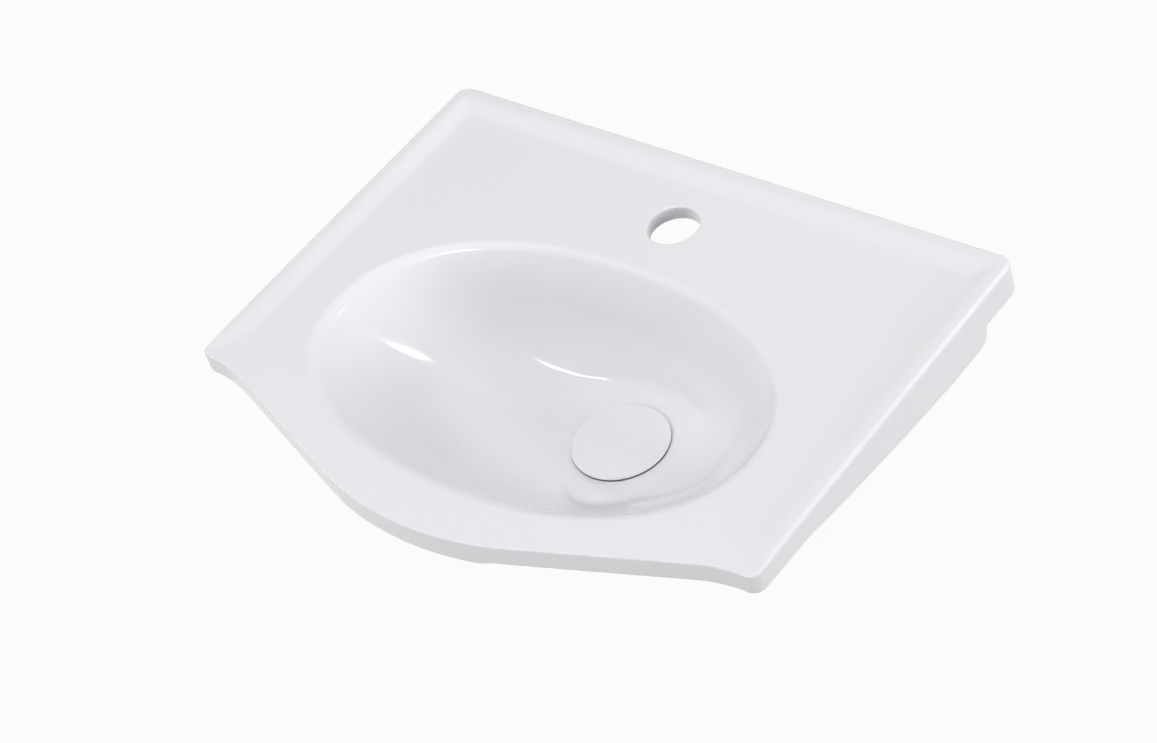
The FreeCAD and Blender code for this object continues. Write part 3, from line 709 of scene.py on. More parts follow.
    def level(self, depth: Array, height: Array, wall: Number = 0.0) -> Array:
        """Level lines of the bowl: ovals whose back and front halves differ.

        The half width and the front run from the floor's circle to the brim by a power of how
        much of the fall is left. The back leans in slowly and rounds onto the floor. Each line
        is a super-ellipse: half width times cos to a power, and the reach to the back or the
        front times sin to that power.

        Args:
            depth: Depth of each line under the deck.
            height: Height at which it is drawn.
            wall: Distance it is moved outwards.
        Returns:
            Array of (rows, lines, 3).
        """
        size = self.size
        depth, wall = depth[:, None], np.reshape(wall, (-1, 1))
        fall = 1 - depth / size.bowl_depth
        side = fall ** (1 / size.side_curve)
        over = np.maximum(size.brim - depth, 0.0)
        out = size.brim - np.sqrt(size.brim**2 - over**2) + wall
        low = np.maximum(depth - size.bowl_depth + size.back_fillet, 0.0)
        fillet = size.back_fillet - np.sqrt(np.maximum(size.back_fillet**2 - low**2, 0.0))
        back = size.bowl_back - size.back_lean * depth - fillet + out
        floor = DRAIN_Y - size.floor_radius
        front = floor + (size.bowl_front - floor) * fall ** (1 / size.front_curve) - out
        half = size.floor_radius + (size.bowl_half - size.floor_radius) * side + out
        waist = self._waist(side)
        power = 2 / (size.floor_squareness + (size.brim_squareness - size.floor_squareness) * fall)
        cosine, sine = np.cos(self.turns)[None], np.sin(self.turns)[None]
        x = half * np.sign(cosine) * np.abs(cosine) ** power
        y = waist + np.where(sine > 0, back - waist, waist - front) * np.sign(sine) * np.abs(sine) ** power
        return lifted(np.stack([x, y], -1), height[:, None])

    # -- stretches of the section --

    def _rim(self) -> Array:
        """The edge's round and the rim: a crest, then an S-curve down to the deck."""
        size, count = self.size, self.count
        edge = size.front_edge + (size.side_edge - size.front_edge) * smooth(self.rise, 0.0, size.rim_full)
        sine, cosine = quarter(count.edge_rows)
        on_round = lifted(self.drawn_in(edge * (1 - cosine)), size.deck + self.rise - edge * (1 - sine))
        share = np.linspace(0, 1, count.rim_rows + 1)[1:, None]
        inset = edge + (size.rim_inset - edge) * share**size.rim_spread
        drop = smooth(inset, size.rim_crest, size.rim_foot)
        return np.concatenate([on_round, lifted(self.drawn_in(inset), size.deck + self.rise * (1 - drop))])

    @staticmethod
    def _between(outer: Array, inner: Array, shares: list[float] | Array) -> Array:
        """Rows that run straight from one row of points to another, at these shares."""
        shares = np.reshape(shares, (-1, 1, 1))
        return outer[None] * (1 - shares) + inner[None] * shares

    def _bowl(self) -> Array:
        """The brim's round and the wall down to the floor, rows closer where the floor turns up."""
        size, count = self.size, self.count
        brim = size.brim * (1 - quarter(count.brim_rows)[0][-2:0:-1, 0])
        start = (1 - size.brim / size.bowl_depth) ** (1 / size.row_curve)
        wall = size.bowl_depth * (1 - np.linspace(start, 0, count.wall_rows) ** size.row_curve)
        depth = np.concatenate([[0.0], brim, wall])
        return self.level(depth, size.deck - depth)

    def _shell(self) -> Array:
        """The bowl's outside, from its flat pad up to the hollow, ending in a hollow round."""
        size, count = self.size, self.count
        fall = size.ceiling - size.floor_under
        start = (size.deck - size.ceiling) / size.bowl_depth
        down = 1 - np.linspace(0, 1, count.shell_rows) ** size.row_curve
        down = down[size.ceiling - fall * down < size.ceiling - 1.5 * size.shell_round]
        sine, cosine = (part[:, 0] for part in quarter(count.round_rows))
        rise = size.shell_round * (1 - sine)
        depth = start + (1 - start) * np.concatenate([down, rise / fall])
        wall = size.shell_wall + (size.floor_pad - size.shell_wall) * down
        walls = np.concatenate([wall, size.shell_wall + size.shell_round * (1 - cosine)])
        return self.level(depth * size.bowl_depth, size.ceiling - np.concatenate([fall * down, rise]), walls)

    def _drain(self) -> Array:
        """Floor's edge, seat and drain hole down to the flat pad, as circles."""
        size = self.size
        edge, hollow, lip, under = size.drain_rounds
        seat, hole = size.seat_radius, size.drain_radius
        sine, cosine = quarter(self.count.drain_rows)
        profile = [
            [[size.floor_edge, size.floor]],
            np.hstack([seat + edge * (1 - sine), size.floor - edge * (1 - cosine)]),
            np.hstack([seat - hollow * (1 - cosine), size.seat + hollow * (1 - sine)]),
            np.hstack([hole + lip * (1 - sine), size.seat - lip * (1 - cosine)]),
            np.hstack([hole + under * (1 - cosine), size.floor_under + under * (1 - sine)]),
            [[radius, size.floor_under] for radius in size.pad_radii],
        ]
        return circles(np.concatenate(profile), self.turns)

    def _inner_wall(self) -> Array:
        """The hollow's edge: a hollow round under the deck, the wall and the foot's inner round."""
        size = self.size
        up, down = size.shell_round, size.foot_round
        top, low = size.ceiling - up, self.foot + down
        bends = list(zip(*(part[:, 0] for part in quarter(self.count.round_rows))))
        rows = [(up * (1 - sine), top + up * cosine) for sine, cosine in bends]
        rows += [(0.0, top + (low - top) * share) for share in (0.2, 0.5, 0.8)]
        rows += [(-down * (1 - cosine), low - down * sine) for sine, cosine in bends]
        lines = [lifted(self._mirrored(self._hollow(extra))[None], height) for extra, height in rows]
        return np.concatenate(lines)

    def _outer_foot(self) -> Array:
        """The outer round under the edge face, larger where the skirts hang lower."""
        size = self.size
        deep = np.clip((size.ledge - self.foot) / (size.ledge - size.skirt_foot), 0, 1)
        radius = size.foot_edge + (size.skirt_edge - size.foot_edge) * deep
        sine, cosine = quarter(self.count.foot_rows)
        return lifted(self.drawn_in(radius * (1 - sine)), self.foot + radius * (1 - cosine))

    def build(self, name: str) -> Piece:
        """Puts the whole body together.

        Args:
            name: Name of the piece.
        Returns:
            The finished object.
        """
        rim, bowl, shell = self._rim(), self._bowl(), self._shell()
        wall_in, foot_round = self._inner_wall(), self._outer_foot()
        flat = np.linspace(0, 1, self.count.flat_rows + 2)[1:-1]
        deck = self._between(rim[-1], bowl[0], [*flat**self.size.deck_spread, 0.992])
        ceiling = self._between(shell[-1], wall_in[0], flat)
        foot = self._between(wall_in[-1], foot_round[0], [0.12, 0.35, 0.6, 0.85])
        face = self._between(foot_round[-1], rim[0], [0.06, 0.3, 0.55, 0.8, 0.94])
        stretches = [rim, deck, bowl, self._drain(), shell, ceiling, wall_in, foot, foot_round, face]
        starts = np.cumsum([0] + [len(part) for part in stretches])
        skin = Skin()
        grid = skin.add(np.concatenate(stretches))
        keep = np.ones(grid.shape, bool)
        rings = [self._opening(skin, grid, keep, starts[place]) for place in (1, 5)]
        skin.faces.append(skin.quads(grid, along=True)[keep])
        self._tap_wall(skin, rings)
        self._spreaders(skin)
        return skin.mesh(name)

    def _opening(self, skin: Skin, grid: Array, keep: Array, first: int) -> Array:
        """Leaves a window in the grid round the tap hole and fills it up to a circle.

        Rows of points run straight from the window's border to the points of a circle that
        lie in the same directions from the hole's middle.

        Args:
            skin: Where the surface goes.
            grid: Point numbers of the whole body.
            keep: Which quads stay; the window's are struck out.
            first: First row of the flat stretch, on the deck or on the hollow's ceiling.
        Returns:
            Numbers of the points on the circle.
        """
        size, count = self.size, self.count
        hole = np.array([0.0, size.tap_y])
        points = np.concatenate(skin.points)
        middle, half = len(self.edge) // 2, count.tap + 1
        columns = np.arange(middle - half, middle + half + 1)
        y = points[grid[first : first + count.flat_rows, middle], 1]
        inside = np.nonzero(np.abs(y - size.tap_y) < size.tap_radius + size.tap_margin)[0]
        centre = first + (inside[0] + inside[-1]) // 2
        rows = np.arange(centre - count.window_rows, centre + count.window_rows + 1)
        keep[rows[0] : rows[-1], columns[0] : columns[-1]] = False
        border = np.concatenate([
            grid[rows[0], columns[:-1]], grid[rows[:-1], columns[-1]],
            grid[rows[-1], columns[:0:-1]], grid[rows[:0:-1], columns[0]],
        ])
        outer = points[border]
        away = unit(outer[:, :2] - hole)
        circle = lifted((hole + away * (size.tap_radius + size.tap_round))[None], outer[:, 2])[0]
        numbers = skin.add(self._between(outer, circle, [0.2, 0.42, 0.65, 0.85, 1.0]))
        skin.cover(np.concatenate([border[None], numbers]))
        return numbers[-1]

    def _tap_wall(self, skin: Skin, rings: list[Array]) -> None:
        """Adds the tap hole's wall with a round at both ends.

        The two circles are numbered in opposite ways, so the lower one is read backwards, from
        the point that lies nearest under the upper one's first.

        Args:
            skin: Where the surface goes.
            rings: Numbers of the circles on the deck and on the ceiling.
        """
        size, hole = self.size, np.array([0.0, self.size.tap_y])
        points = np.concatenate(skin.points)
        upper, lower = (points[ring, :2] - hole for ring in rings)
        order = np.argmax(lower @ upper[0]) - np.arange(len(lower))
        rings, lower = [rings[0], rings[1][order]], lower[order]
        sine, cosine = (part[1:, 0] for part in quarter(self.count.round_rows))
        out = np.concatenate([1 - sine, [0.0, 0.0], 1 - cosine]) * size.tap_round
        height = np.concatenate([size.deck - size.tap_round * (1 - cosine), [size.deck / 2, 0.0],
                                 size.ceiling + size.tap_round * (1 - sine)])
        away = unit(self._between(upper, lower, (size.deck - height) / (size.deck - size.ceiling)))
        plan = hole + away * (size.tap_radius + out)[:, None, None]
        skin.cover(np.stack([rings[0], *skin.add(lifted(plan, height[:, None])), rings[1]]))

    def _spreaders(self, skin: Skin) -> None:
        """Adds the cross wall behind the bowl: a rounded section carried along x on both sides."""
        size = self.size
        back, front = -size.ledge_depth - 0.05, -size.ledge_depth - size.spreader_wall
        corners = box(front, back, size.skirt_foot, size.ceiling + 3)
        section = rounded(corners, size.spreader_rounds, 9)
        middle = section.mean(0)
        inwards = np.array([2.5, 1.2, 0.4, 0.0, 0.0, 0.0])[:, None, None]
        along = np.array([0.0, 0.35, 1.2, 2.5, 60.0, size.spreader_length])[:, None, None]
        plan = section + unit(middle - section) * inwards
        for side in (-1.0, 1.0):
            x = np.broadcast_to(side * (size.spreader_inner + along), (*plan.shape[:2], 1))
            tips = [np.array([x[row, 0, 0], *middle]) for row in (0, -1)]
            skin.bar(np.concatenate([x, plan], -1), *tips)


# ---- cover, waste and latch ----


@dataclass(frozen=True)
class CoverSizes:
    """Sizes of the cover and what hangs under it, in millimetres."""

    radius: float = 33.5
    under: float = -102.2
    top: float = -99.9
    hollow: float = -101.8
    crown: float = 0.6
    crown_rows: int = 26
    crown_spread: float = 0.8
    edge_round: float = 0.9
    rim_width: float = 2.6
    foot_rounds: tuple[float, ...] = (0.01, 0.45, 0.45, 0.3)
    carrier_radius: float = 16.5
    carrier_lip: float = 1.4
    carrier_rounds: tuple[float, ...] = (0.25, 0.12, 0.2, 0.25, 0.35)
    lip_top: float = -104.8
    carrier_under: float = -105.6
    stud_radius: float = 3.0
    stud_end: float = -117.3
    stud_neck: float = 0.8
    stud_lead: float = 0.6
    stud_tip: float = 0.55
    stud_rows: int = 90
    stud_pitch: float = 1.0
    stud_deep: float = 0.5
    mouth_radius: float = 22.0
    flange_top: float = -103.1
    seal_gap: float = 0.3
    seal_bore: float = 16.6
    seal_rounds: tuple[float, ...] = (0.15, 0.4, 0.35, 0.35, 0.15)
    nut_top: float = -105.8
    nut_under: float = -110.3
    nut_flats: float = 5.0
    nut_hole: float = 3.05
    nut_bevel: float = 0.5


class Cover:
    """The round cover with its carrier, seal and lock nut."""

    def __init__(self, sizes: CoverSizes = CoverSizes()) -> None:
        """Keeps the sizes."""
        self.size = sizes

    def disc(self) -> Piece:
        """The cover: its top is part of a large sphere that rolls over into a round edge."""
        size = self.size
        sphere = (size.radius**2 + size.crown**2) / (2 * size.crown)
        shoulder, inner = size.radius - size.edge_round, size.radius - size.rim_width
        radius = shoulder * np.linspace(0, 1, size.crown_rows) ** size.crown_spread
        crown = size.top - sphere + np.sqrt(sphere**2 - radius**2)
        sine, cosine = quarter(8)
        low = crown[-1] - size.edge_round
        edge = np.hstack([shoulder + size.edge_round * sine, low + size.edge_round * cosine])
        foot = [(size.radius, low - 0.2), (size.radius, size.under), (inner, size.under),
                (inner, size.hollow)]
        under = [(inner * share, size.hollow) for share in (0.7, 0.35, 0.0)]
        parts = [np.stack([radius, crown], 1), edge[1:], rounded(foot, size.foot_rounds, 6), under]
        return Skin().turn(np.concatenate(parts), 160, closed=False).mesh("cover_disc")

    def carrier(self) -> Piece:
        """The plug disc and its threaded stud, turned from one profile."""
        size, steps = self.size, 64
        lip = size.carrier_radius + size.carrier_lip
        head = [(size.carrier_radius, size.hollow), (size.carrier_radius, size.lip_top), (lip, size.lip_top),
                (lip, size.carrier_under), (size.stud_radius, size.carrier_under)]
        start = np.array([(0.0, size.hollow), (size.carrier_radius - 1.2, size.hollow)])
        high, low = size.carrier_under - size.stud_neck, size.stud_end + size.stud_lead
        stud = upright(size.stud_radius, np.linspace(high, low, size.stud_rows))
        tip = np.array([(size.stud_radius - size.stud_tip, size.stud_end), (0.0, size.stud_end)])
        profile = np.concatenate([start, rounded(head, size.carrier_rounds)[3:], stud, tip])
        swell = np.zeros((len(profile), steps))
        swell[-len(tip) - len(stud) : -len(tip)] = thread(
            stud[:, 1], steps, size.stud_pitch, size.stud_deep, size.stud_end, size.carrier_under - 1.0)
        return Skin().turn(profile, steps, swell).mesh("cover_carrier")

    def seal(self) -> Piece:
        """The rubber ring, whose outside lies along the mouth's 45 degree slope."""
        size = self.size
        inner, high = size.seal_bore, size.hollow - size.seal_gap
        widest = size.mouth_radius - size.seal_gap * math.sqrt(2)
        at_foot = widest - (size.flange_top - size.lip_top)
        outline = [(inner, size.lip_top), (at_foot, size.lip_top), (widest, size.flange_top),
                   (widest, high), (inner, high)]
        return Skin().turn(rounded(outline, size.seal_rounds, 6), 128).mesh("cover_seal")

    def lock_nut(self) -> Piece:
        """The hexagon nut; see hex_nut."""
        size = self.size
        return hex_nut("cover_lock_nut", size.nut_flats, size.nut_hole, size.nut_under, size.nut_top,
                       size.nut_bevel, size.nut_bevel)


@dataclass(frozen=True)
class WasteSizes:
    """Sizes of the waste and its clamping rings, in millimetres."""

    thread_radius: float = 20.955
    thread_deep: float = 1.1
    thread_neck: float = 3.2
    thread_lead: float = 1.2
    thread_rows: tuple[int, int] = (120, 116)
    pitch: float = 2.309
    bore: float = 18.5
    flange_radius: float = 32.0
    flange_top: float = -103.1
    flange_under: float = -105.1
    flange_rounds: tuple[float, ...] = (0.8, 0.6, 0.8, 0.3, 0.4)
    mouth_radius: float = 22.0
    seat: float = -106.6
    floor_under: float = -115.0
    washer_top: float = -121.0
    relief_top: float = -135.0
    relief_under: float = -138.0
    relief_deep: float = 0.8
    relief_slope: float = 0.35
    end: float = -167.1
    end_rounds: tuple[float, ...] = (0.15, 0.2, 0.2, 0.01)
    ring_bore: float = 21.255
    foam_radius: float = 31.0
    rubber_radius: float = 33.0
    washer_radius: float = 32.0
    boss_bore: float = 7.05
    boss_wall: float = 2.5
    boss_top: float = -119.1
    boss_under: float = -127.1
    boss_rounds: tuple[float, ...] = (0.3, 0.6, 0.6, 0.3)
    arm_top: float = -121.6
    arm_height: float = 3.5
    arm_width: float = 4.0
    arm_round: float = 0.8
    arm_sink: float = 0.8
    arm_neck: float = 0.6
    arm_flare: float = 1.25
    arm_middle: float = 14.0
    nut_top: float = -122.5
    nut_under: float = -132.5
    nut_flats: float = 26.0
    nut_clearance: float = 0.12
    nut_bevel: float = 1.5
    nut_top_bevel: float = 0.6
    nut_flange: Point = (31.5, 2.5)


class Waste:
    """The flanged, threaded tube and the rings and nut that clamp it in the bowl."""

    def __init__(self, sizes: WasteSizes = WasteSizes()) -> None:
        """Keeps the sizes."""
        self.size = sizes

    def tube(self) -> Piece:
        """Flange and tube as one turned profile with its thread, and the cross inside it."""
        size, steps = self.size, 96
        bore, crest, relief = size.bore, size.thread_radius, size.thread_radius - size.relief_deep
        slope, (upper, lower) = size.relief_slope, size.thread_rows
        foot = size.flange_top - (size.mouth_radius - bore)
        head = [(bore, foot), (size.mouth_radius, size.flange_top), (size.flange_radius, size.flange_top),
                (size.flange_radius, size.flange_under), (crest, size.flange_under)]
        end = [(crest, size.end + 1), (crest - 1, size.end), (bore, size.end), (bore, size.end + 6)]
        parts = [
            rounded(head, size.flange_rounds, 7),
            upright(crest, np.linspace(size.flange_under - size.thread_neck, size.relief_top, upper)),
            upright(relief, np.array([size.relief_top - slope, size.relief_under + slope])),
            upright(crest, np.linspace(size.relief_under, size.end + size.thread_lead, lower)),
            rounded(end, size.end_rounds, 4),
            upright(bore, np.linspace(size.end + 9, foot - 2, 8)),
        ]
        profile = np.concatenate(parts)
        swell = np.zeros((len(profile), steps))
        starts = np.cumsum([0] + [len(part) for part in parts])
        cuts = ((1, size.relief_top, size.flange_under - 3.0), (3, size.end + 0.6, size.relief_under))
        for part, low, high in cuts:
            swell[starts[part] : starts[part + 1]] = thread(
                parts[part][:, 1], steps, size.pitch, size.thread_deep, low, high)
        skin = Skin().turn(profile, steps, swell)
        self._cross(skin)
        return skin.mesh("waste_tube")

    def _cross(self, skin: Skin) -> None:
        """Adds the boss that holds the latch, and three arms of rounded section out to the tube."""
        size = self.size
        out, half = size.boss_bore + size.boss_wall, size.arm_width / 2
        skin.turn(rounded(box(size.boss_bore, out, size.boss_under, size.boss_top), size.boss_rounds), 72)
        section = rounded(box(-half, half, size.arm_top - size.arm_height, size.arm_top), size.arm_round, 6)
        reach = np.array([out - size.arm_sink, out + size.arm_neck, size.arm_middle,
                          size.bore - size.arm_neck, size.bore + size.arm_sink])
        wide = np.array([size.arm_flare, 1.0, 1.0, 1.0, size.arm_flare])[:, None, None]
        centre = section.mean(0)
        shape = centre + (section - centre) * wide
        for angle in np.radians([90.0, 210.0, 330.0]):
            ahead = np.array([math.cos(angle), math.sin(angle)])
            beside = np.array([-ahead[1], ahead[0]])
            plan = reach[:, None, None] * ahead + shape[..., :1] * beside + (0.0, DRAIN_Y)
            tips = [np.array([*(far * ahead + (0.0, DRAIN_Y)), centre[1]]) for far in reach[[0, -1]]]
            skin.bar(np.concatenate([plan, shape[..., 1:]], -1), *tips)

    def ring(self, name: str, outer: float, low: float, high: float, soft: float) -> Piece:
        """A flat ring round the tube, turned from a rounded rectangle.

        Args:
            name: Name of the piece.
            outer: Outer radius.
            low: Height of the underside.
            high: Height of the top.
            soft: Radius of its edges.
        Returns:
            The finished object.
        """
        corners = box(self.size.ring_bore, outer, low, high)
        return Skin().turn(rounded(corners, soft, 6), 128).mesh(name)

    def nut(self) -> Piece:
        """The flanged back nut; see hex_nut."""
        size = self.size
        return hex_nut("waste_back_nut", size.nut_flats, size.thread_radius + size.nut_clearance,
                       size.nut_under, size.nut_top, size.nut_bevel, size.nut_top_bevel, size.nut_flange)


@dataclass(frozen=True)
class LatchSizes:
    """Sizes of the latch's wire parts, in millimetres."""

    spring_radius: float = 3.2
    spring_wire: float = 0.45
    spring_low: float = -144.3
    spring_high: float = -135.8
    spring_turns: float = 7.2
    spring_ease: float = 1.01802
    spring_points: int = 340
    seat_gap: float = 0.05
    pin_lane: float = 5.7
    pin_wire: float = 0.6
    pin_bend: float = 0.9
    pin_pivot: float = -140.3
    pin_tip: float = -123.3
    pin_inner: float = 4.0
    pin_outer: float = 7.0


class Latch:
    """The wire parts of the push-open latch; its turned parts are the frame's own."""

    def __init__(self, sizes: LatchSizes = LatchSizes()) -> None:
        """Keeps the sizes."""
        self.size = sizes

    def spring(self) -> Piece:
        """A wire carried up a helix that rises slowly in its first and last coil.

        The point at turn t is (r cos t, r sin t, z), where z is a weighted sum of t and of the
        S-curve of t, brought onto the spring's height.
        """
        size = self.size
        share = np.linspace(0, 1, size.spring_points)
        rise = size.spring_ease * smooth(share, -0.06, 1.06) + share
        low = size.spring_low + size.spring_wire + size.seat_gap
        high = size.spring_high - size.spring_wire - size.seat_gap
        height = low + (high - low) * (rise - rise[0]) / (rise[-1] - rise[0])
        angle = 2 * math.pi * size.spring_turns * share
        x, y = size.spring_radius * np.cos(angle), DRAIN_Y + size.spring_radius * np.sin(angle)
        return Skin().wire(np.stack([x, y, height], 1), size.spring_wire, 12).mesh("latch_coil_spring")

    def pin(self) -> Piece:
        """The bent wire: pivot end, upright and tip, with an arc at both bends."""
        size = self.size
        sine, cosine = quarter(7)
        lane, low, high, bend = size.pin_lane, size.pin_pivot, size.pin_tip, size.pin_bend
        flat = np.concatenate([
            [(size.pin_outer - size.pin_wire, low), (lane + bend + 0.1, low)],
            np.hstack([lane + bend * (1 - sine), low + bend * (1 - cosine)]),
            upright(lane, np.linspace(low + bend, high - bend, 16)[1:-1]),
            np.hstack([lane - bend * (1 - cosine), high - bend * (1 - sine)]),
            [(lane - bend - 0.1, high), (size.pin_inner + size.pin_wire, high)],
        ])
        flat = flat[np.concatenate([[True], np.linalg.norm(np.diff(flat, axis=0), axis=1) > 0.02])]
        path = np.insert(flat, 1, DRAIN_Y, axis=1)
        return Skin().wire(path, size.pin_wire, 16).mesh("latch_bent_pin")


# ---- finishes ----


def opaque(value: object) -> object:
    """A socket or number as it is, and a colour of three numbers with a fourth for its opacity."""
    return (*value, 1.0) if isinstance(value, tuple) else value


class Recipe:
    """A node tree while it is wired, in a material, in the world or in a shared group."""

    def __init__(self, tree: bpy.types.NodeTree) -> None:
        """Starts with an empty tree."""
        self.tree = tree
        tree.nodes.clear()

    def node(self, kind: str, values: dict | None = None, **settings: object) -> bpy.types.Node:
        """Adds a node.

        Args:
            kind: Node type without its ShaderNode start.
            values: Values for its input sockets, by name or number; a socket is linked.
            settings: Properties of the node itself.
        Returns:
            The new node.
        """
        made = self.tree.nodes.new(kind if kind.startswith("NodeGroup") else "ShaderNode" + kind)
        for key, value in settings.items():
            setattr(made, key, value)
        for key, value in (values or {}).items():
            if isinstance(value, Socket):
                self.tree.links.new(value, made.inputs[key])
            else:
                made.inputs[key].default_value = value
        return made

    def math(self, operation: str, first: object, second: object = 0.0) -> Socket:
        """The result of one sum on values or sockets."""
        return self.node("Math", {0: first, 1: second}, operation=operation).outputs[0]

    def ramp(self, value: Socket, low: object, high: object, start: float = 0.0, end: float = 1.0) -> Socket:
        """A value spread from one range onto another, held at its ends."""
        given = {"Value": value, "From Min": low, "From Max": high, "To Min": start, "To Max": end}
        return self.node("MapRange", given).outputs["Result"]

    def blend(self, share: object, first: object, second: object) -> Socket:
        """A colour between two colours."""
        values = {0: share, 6: opaque(first), 7: opaque(second)}
        return self.node("Mix", values, data_type="RGBA").outputs[2]

    def noise(self, place: Socket, scale: object, detail: float, rough: float = 0.5) -> Socket:
        """Noise at a place, from 0 to 1."""
        values = {"Vector": place, "Scale": scale, "Detail": detail, "Roughness": rough}
        return self.node("TexNoise", values).outputs["Fac"]


class SharedEffect:
    """Shader node groups, each built once and placed in several materials.

    The table gives the names and first values of every group's inputs, where three numbers are a
    colour, and the names of its outputs, of which only Color is a colour. The method of the same
    name wires the group.
    """

    SOCKETS = {
        "mottle": ({"Light": (0.8, 0.8, 0.8), "Dark": (0.7, 0.7, 0.7), "Scale": 20.0, "Contrast": 0.5},
                   ("Color", "Mask")),
        "relief": ({"Wave Scale": 30.0, "Wave Height": 0.0, "Grain Scale": 900.0, "Grain Height": 0.0},
                   ("Height", "Grain")),
        "tool_marks": ({"Rings": 3000.0, "Height": 0.00001}, ("Mask", "Height")),
        "worn_edge": ({"Low": 0.52, "High": 0.6, "Scale": 300.0}, ("Mask",)),
    }
    made: dict[str, bpy.types.NodeTree] = {}

    @classmethod
    def place(cls, recipe: Recipe, name: str, **values: object) -> Sockets:
        """Puts a group into a material, building it the first time.

        Args:
            recipe: The material's recipe.
            name: Name of the group.
            values: Values for its inputs, with _ for a blank in their names.
        Returns:
            The group's outputs.
        """
        if name not in cls.made:
            cls.made[name] = cls._build(name)
        group = recipe.node("Group", node_tree=cls.made[name])
        for key, value in values.items():
            group.inputs[key.replace("_", " ")].default_value = opaque(value)
        return group.outputs

    @classmethod
    def _build(cls, name: str) -> bpy.types.NodeTree:
        """Makes a group: its sockets by the table, its nodes by the method of its name."""
        tree = bpy.data.node_groups.new(name, "ShaderNodeTree")
        inputs, outputs = cls.SOCKETS[name]
        for key, value in inputs.items():
            kind = "NodeSocketColor" if isinstance(value, tuple) else "NodeSocketFloat"
            tree.interface.new_socket(key, in_out="INPUT", socket_type=kind).default_value = opaque(value)
        for key in outputs:
            kind = "NodeSocketColor" if key == "Color" else "NodeSocketFloat"
            tree.interface.new_socket(key, in_out="OUTPUT", socket_type=kind)
        recipe = Recipe(tree)
        given = recipe.node("NodeGroupInput").outputs
        place = recipe.node("TexCoord").outputs["Object"]
        recipe.node("NodeGroupOutput", getattr(cls, name)(recipe, given, place))
        return tree

    @staticmethod
    def mottle(recipe: Recipe, given: Sockets, place: Socket) -> dict[str, Socket]:
        """Two shades of a colour in soft patches of two sizes."""
        large = recipe.noise(place, given["Scale"], 3.0)
        small = recipe.noise(place, recipe.math("MULTIPLY", given["Scale"], 9.0), 5.0, 0.6)
        both = recipe.math("ADD", recipe.math("MULTIPLY", large, 0.65), recipe.math("MULTIPLY", small, 0.35))
        mask = recipe.math("MULTIPLY", recipe.ramp(both, 0.36, 0.64), given["Contrast"])
        return {"Color": recipe.blend(mask, given["Light"], given["Dark"]), "Mask": mask}

    @staticmethod
    def relief(recipe: Recipe, given: Sockets, place: Socket) -> dict[str, Socket]:
        """Unevenness of a surface: long waves and fine grain, as a height in metres."""
        wave = recipe.noise(place, given["Wave Scale"], 1.0)
        grain = recipe.noise(place, given["Grain Scale"], 3.0, 0.55)
        height = recipe.math("ADD", recipe.math("MULTIPLY", wave, given["Wave Height"]),
                             recipe.math("MULTIPLY", grain, given["Grain Height"]))
        return {"Height": height, "Grain": grain}

    @staticmethod
    def tool_marks(recipe: Recipe, given: Sockets, place: Socket) -> dict[str, Socket]:
        """Fine rings that a lathe leaves about the drain's axis, as a mask and a height."""
        to_axis = {"Vector": place, "Location": (0.0, -DRAIN_Y * METRES, 0.0)}
        apart = recipe.node("SeparateXYZ", {0: recipe.node("Mapping", to_axis).outputs[0]}).outputs
        flat = recipe.node("CombineXYZ", {0: apart[0], 1: apart[1]}).outputs[0]
        radius = recipe.node("VectorMath", {0: flat}, operation="LENGTH").outputs["Value"]
        line = recipe.node("CombineXYZ", {0: radius, 2: apart[2]}).outputs[0]
        mark = recipe.noise(line, given["Rings"], 2.0, 0.6)
        return {"Mask": mark, "Height": recipe.math("MULTIPLY", mark, given["Height"])}

    @staticmethod
    def worn_edge(recipe: Recipe, given: Sockets, place: Socket) -> dict[str, Socket]:
        """A mask of outward edges, broken up by noise."""
        sharp = recipe.node("NewGeometry").outputs["Pointiness"]
        broken = recipe.ramp(recipe.noise(place, given["Scale"], 3.0), 0.3, 0.7, -0.03, 0.03)
        return {"Mask": recipe.ramp(recipe.math("ADD", sharp, broken), given["Low"], given["High"])}


def new_material(name: str) -> tuple[bpy.types.Material, Recipe]:
    """A new material and the recipe that fills it."""
    made = bpy.data.materials.new(name)
    made.use_nodes = True
    return made, Recipe(made.node_tree)


@dataclass(frozen=True)
class Finish:
    """What every finish shares: a name, and a Principled shader with a bump."""

    name: str

    def wire(self, recipe: Recipe) -> dict[str, object]:
        """Wires what is the finish's own.

        Args:
            recipe: The material's recipe.
        Returns:
            Values for the shader's inputs, and the relief's height in metres as Height.
        """
        raise NotImplementedError

    def make(self) -> bpy.types.Material:
        """Makes the material and returns it."""
        made, recipe = new_material(self.name)
        values = self.wire(recipe)
        bump = recipe.node("Bump", {"Strength": 1.0, "Distance": 1.0, "Height": values.pop("Height")})
        shader = recipe.node("BsdfPrincipled", {**values, "Normal": bump.outputs[0]})
        recipe.node("OutputMaterial", {"Surface": shader.outputs[0]})
        return made


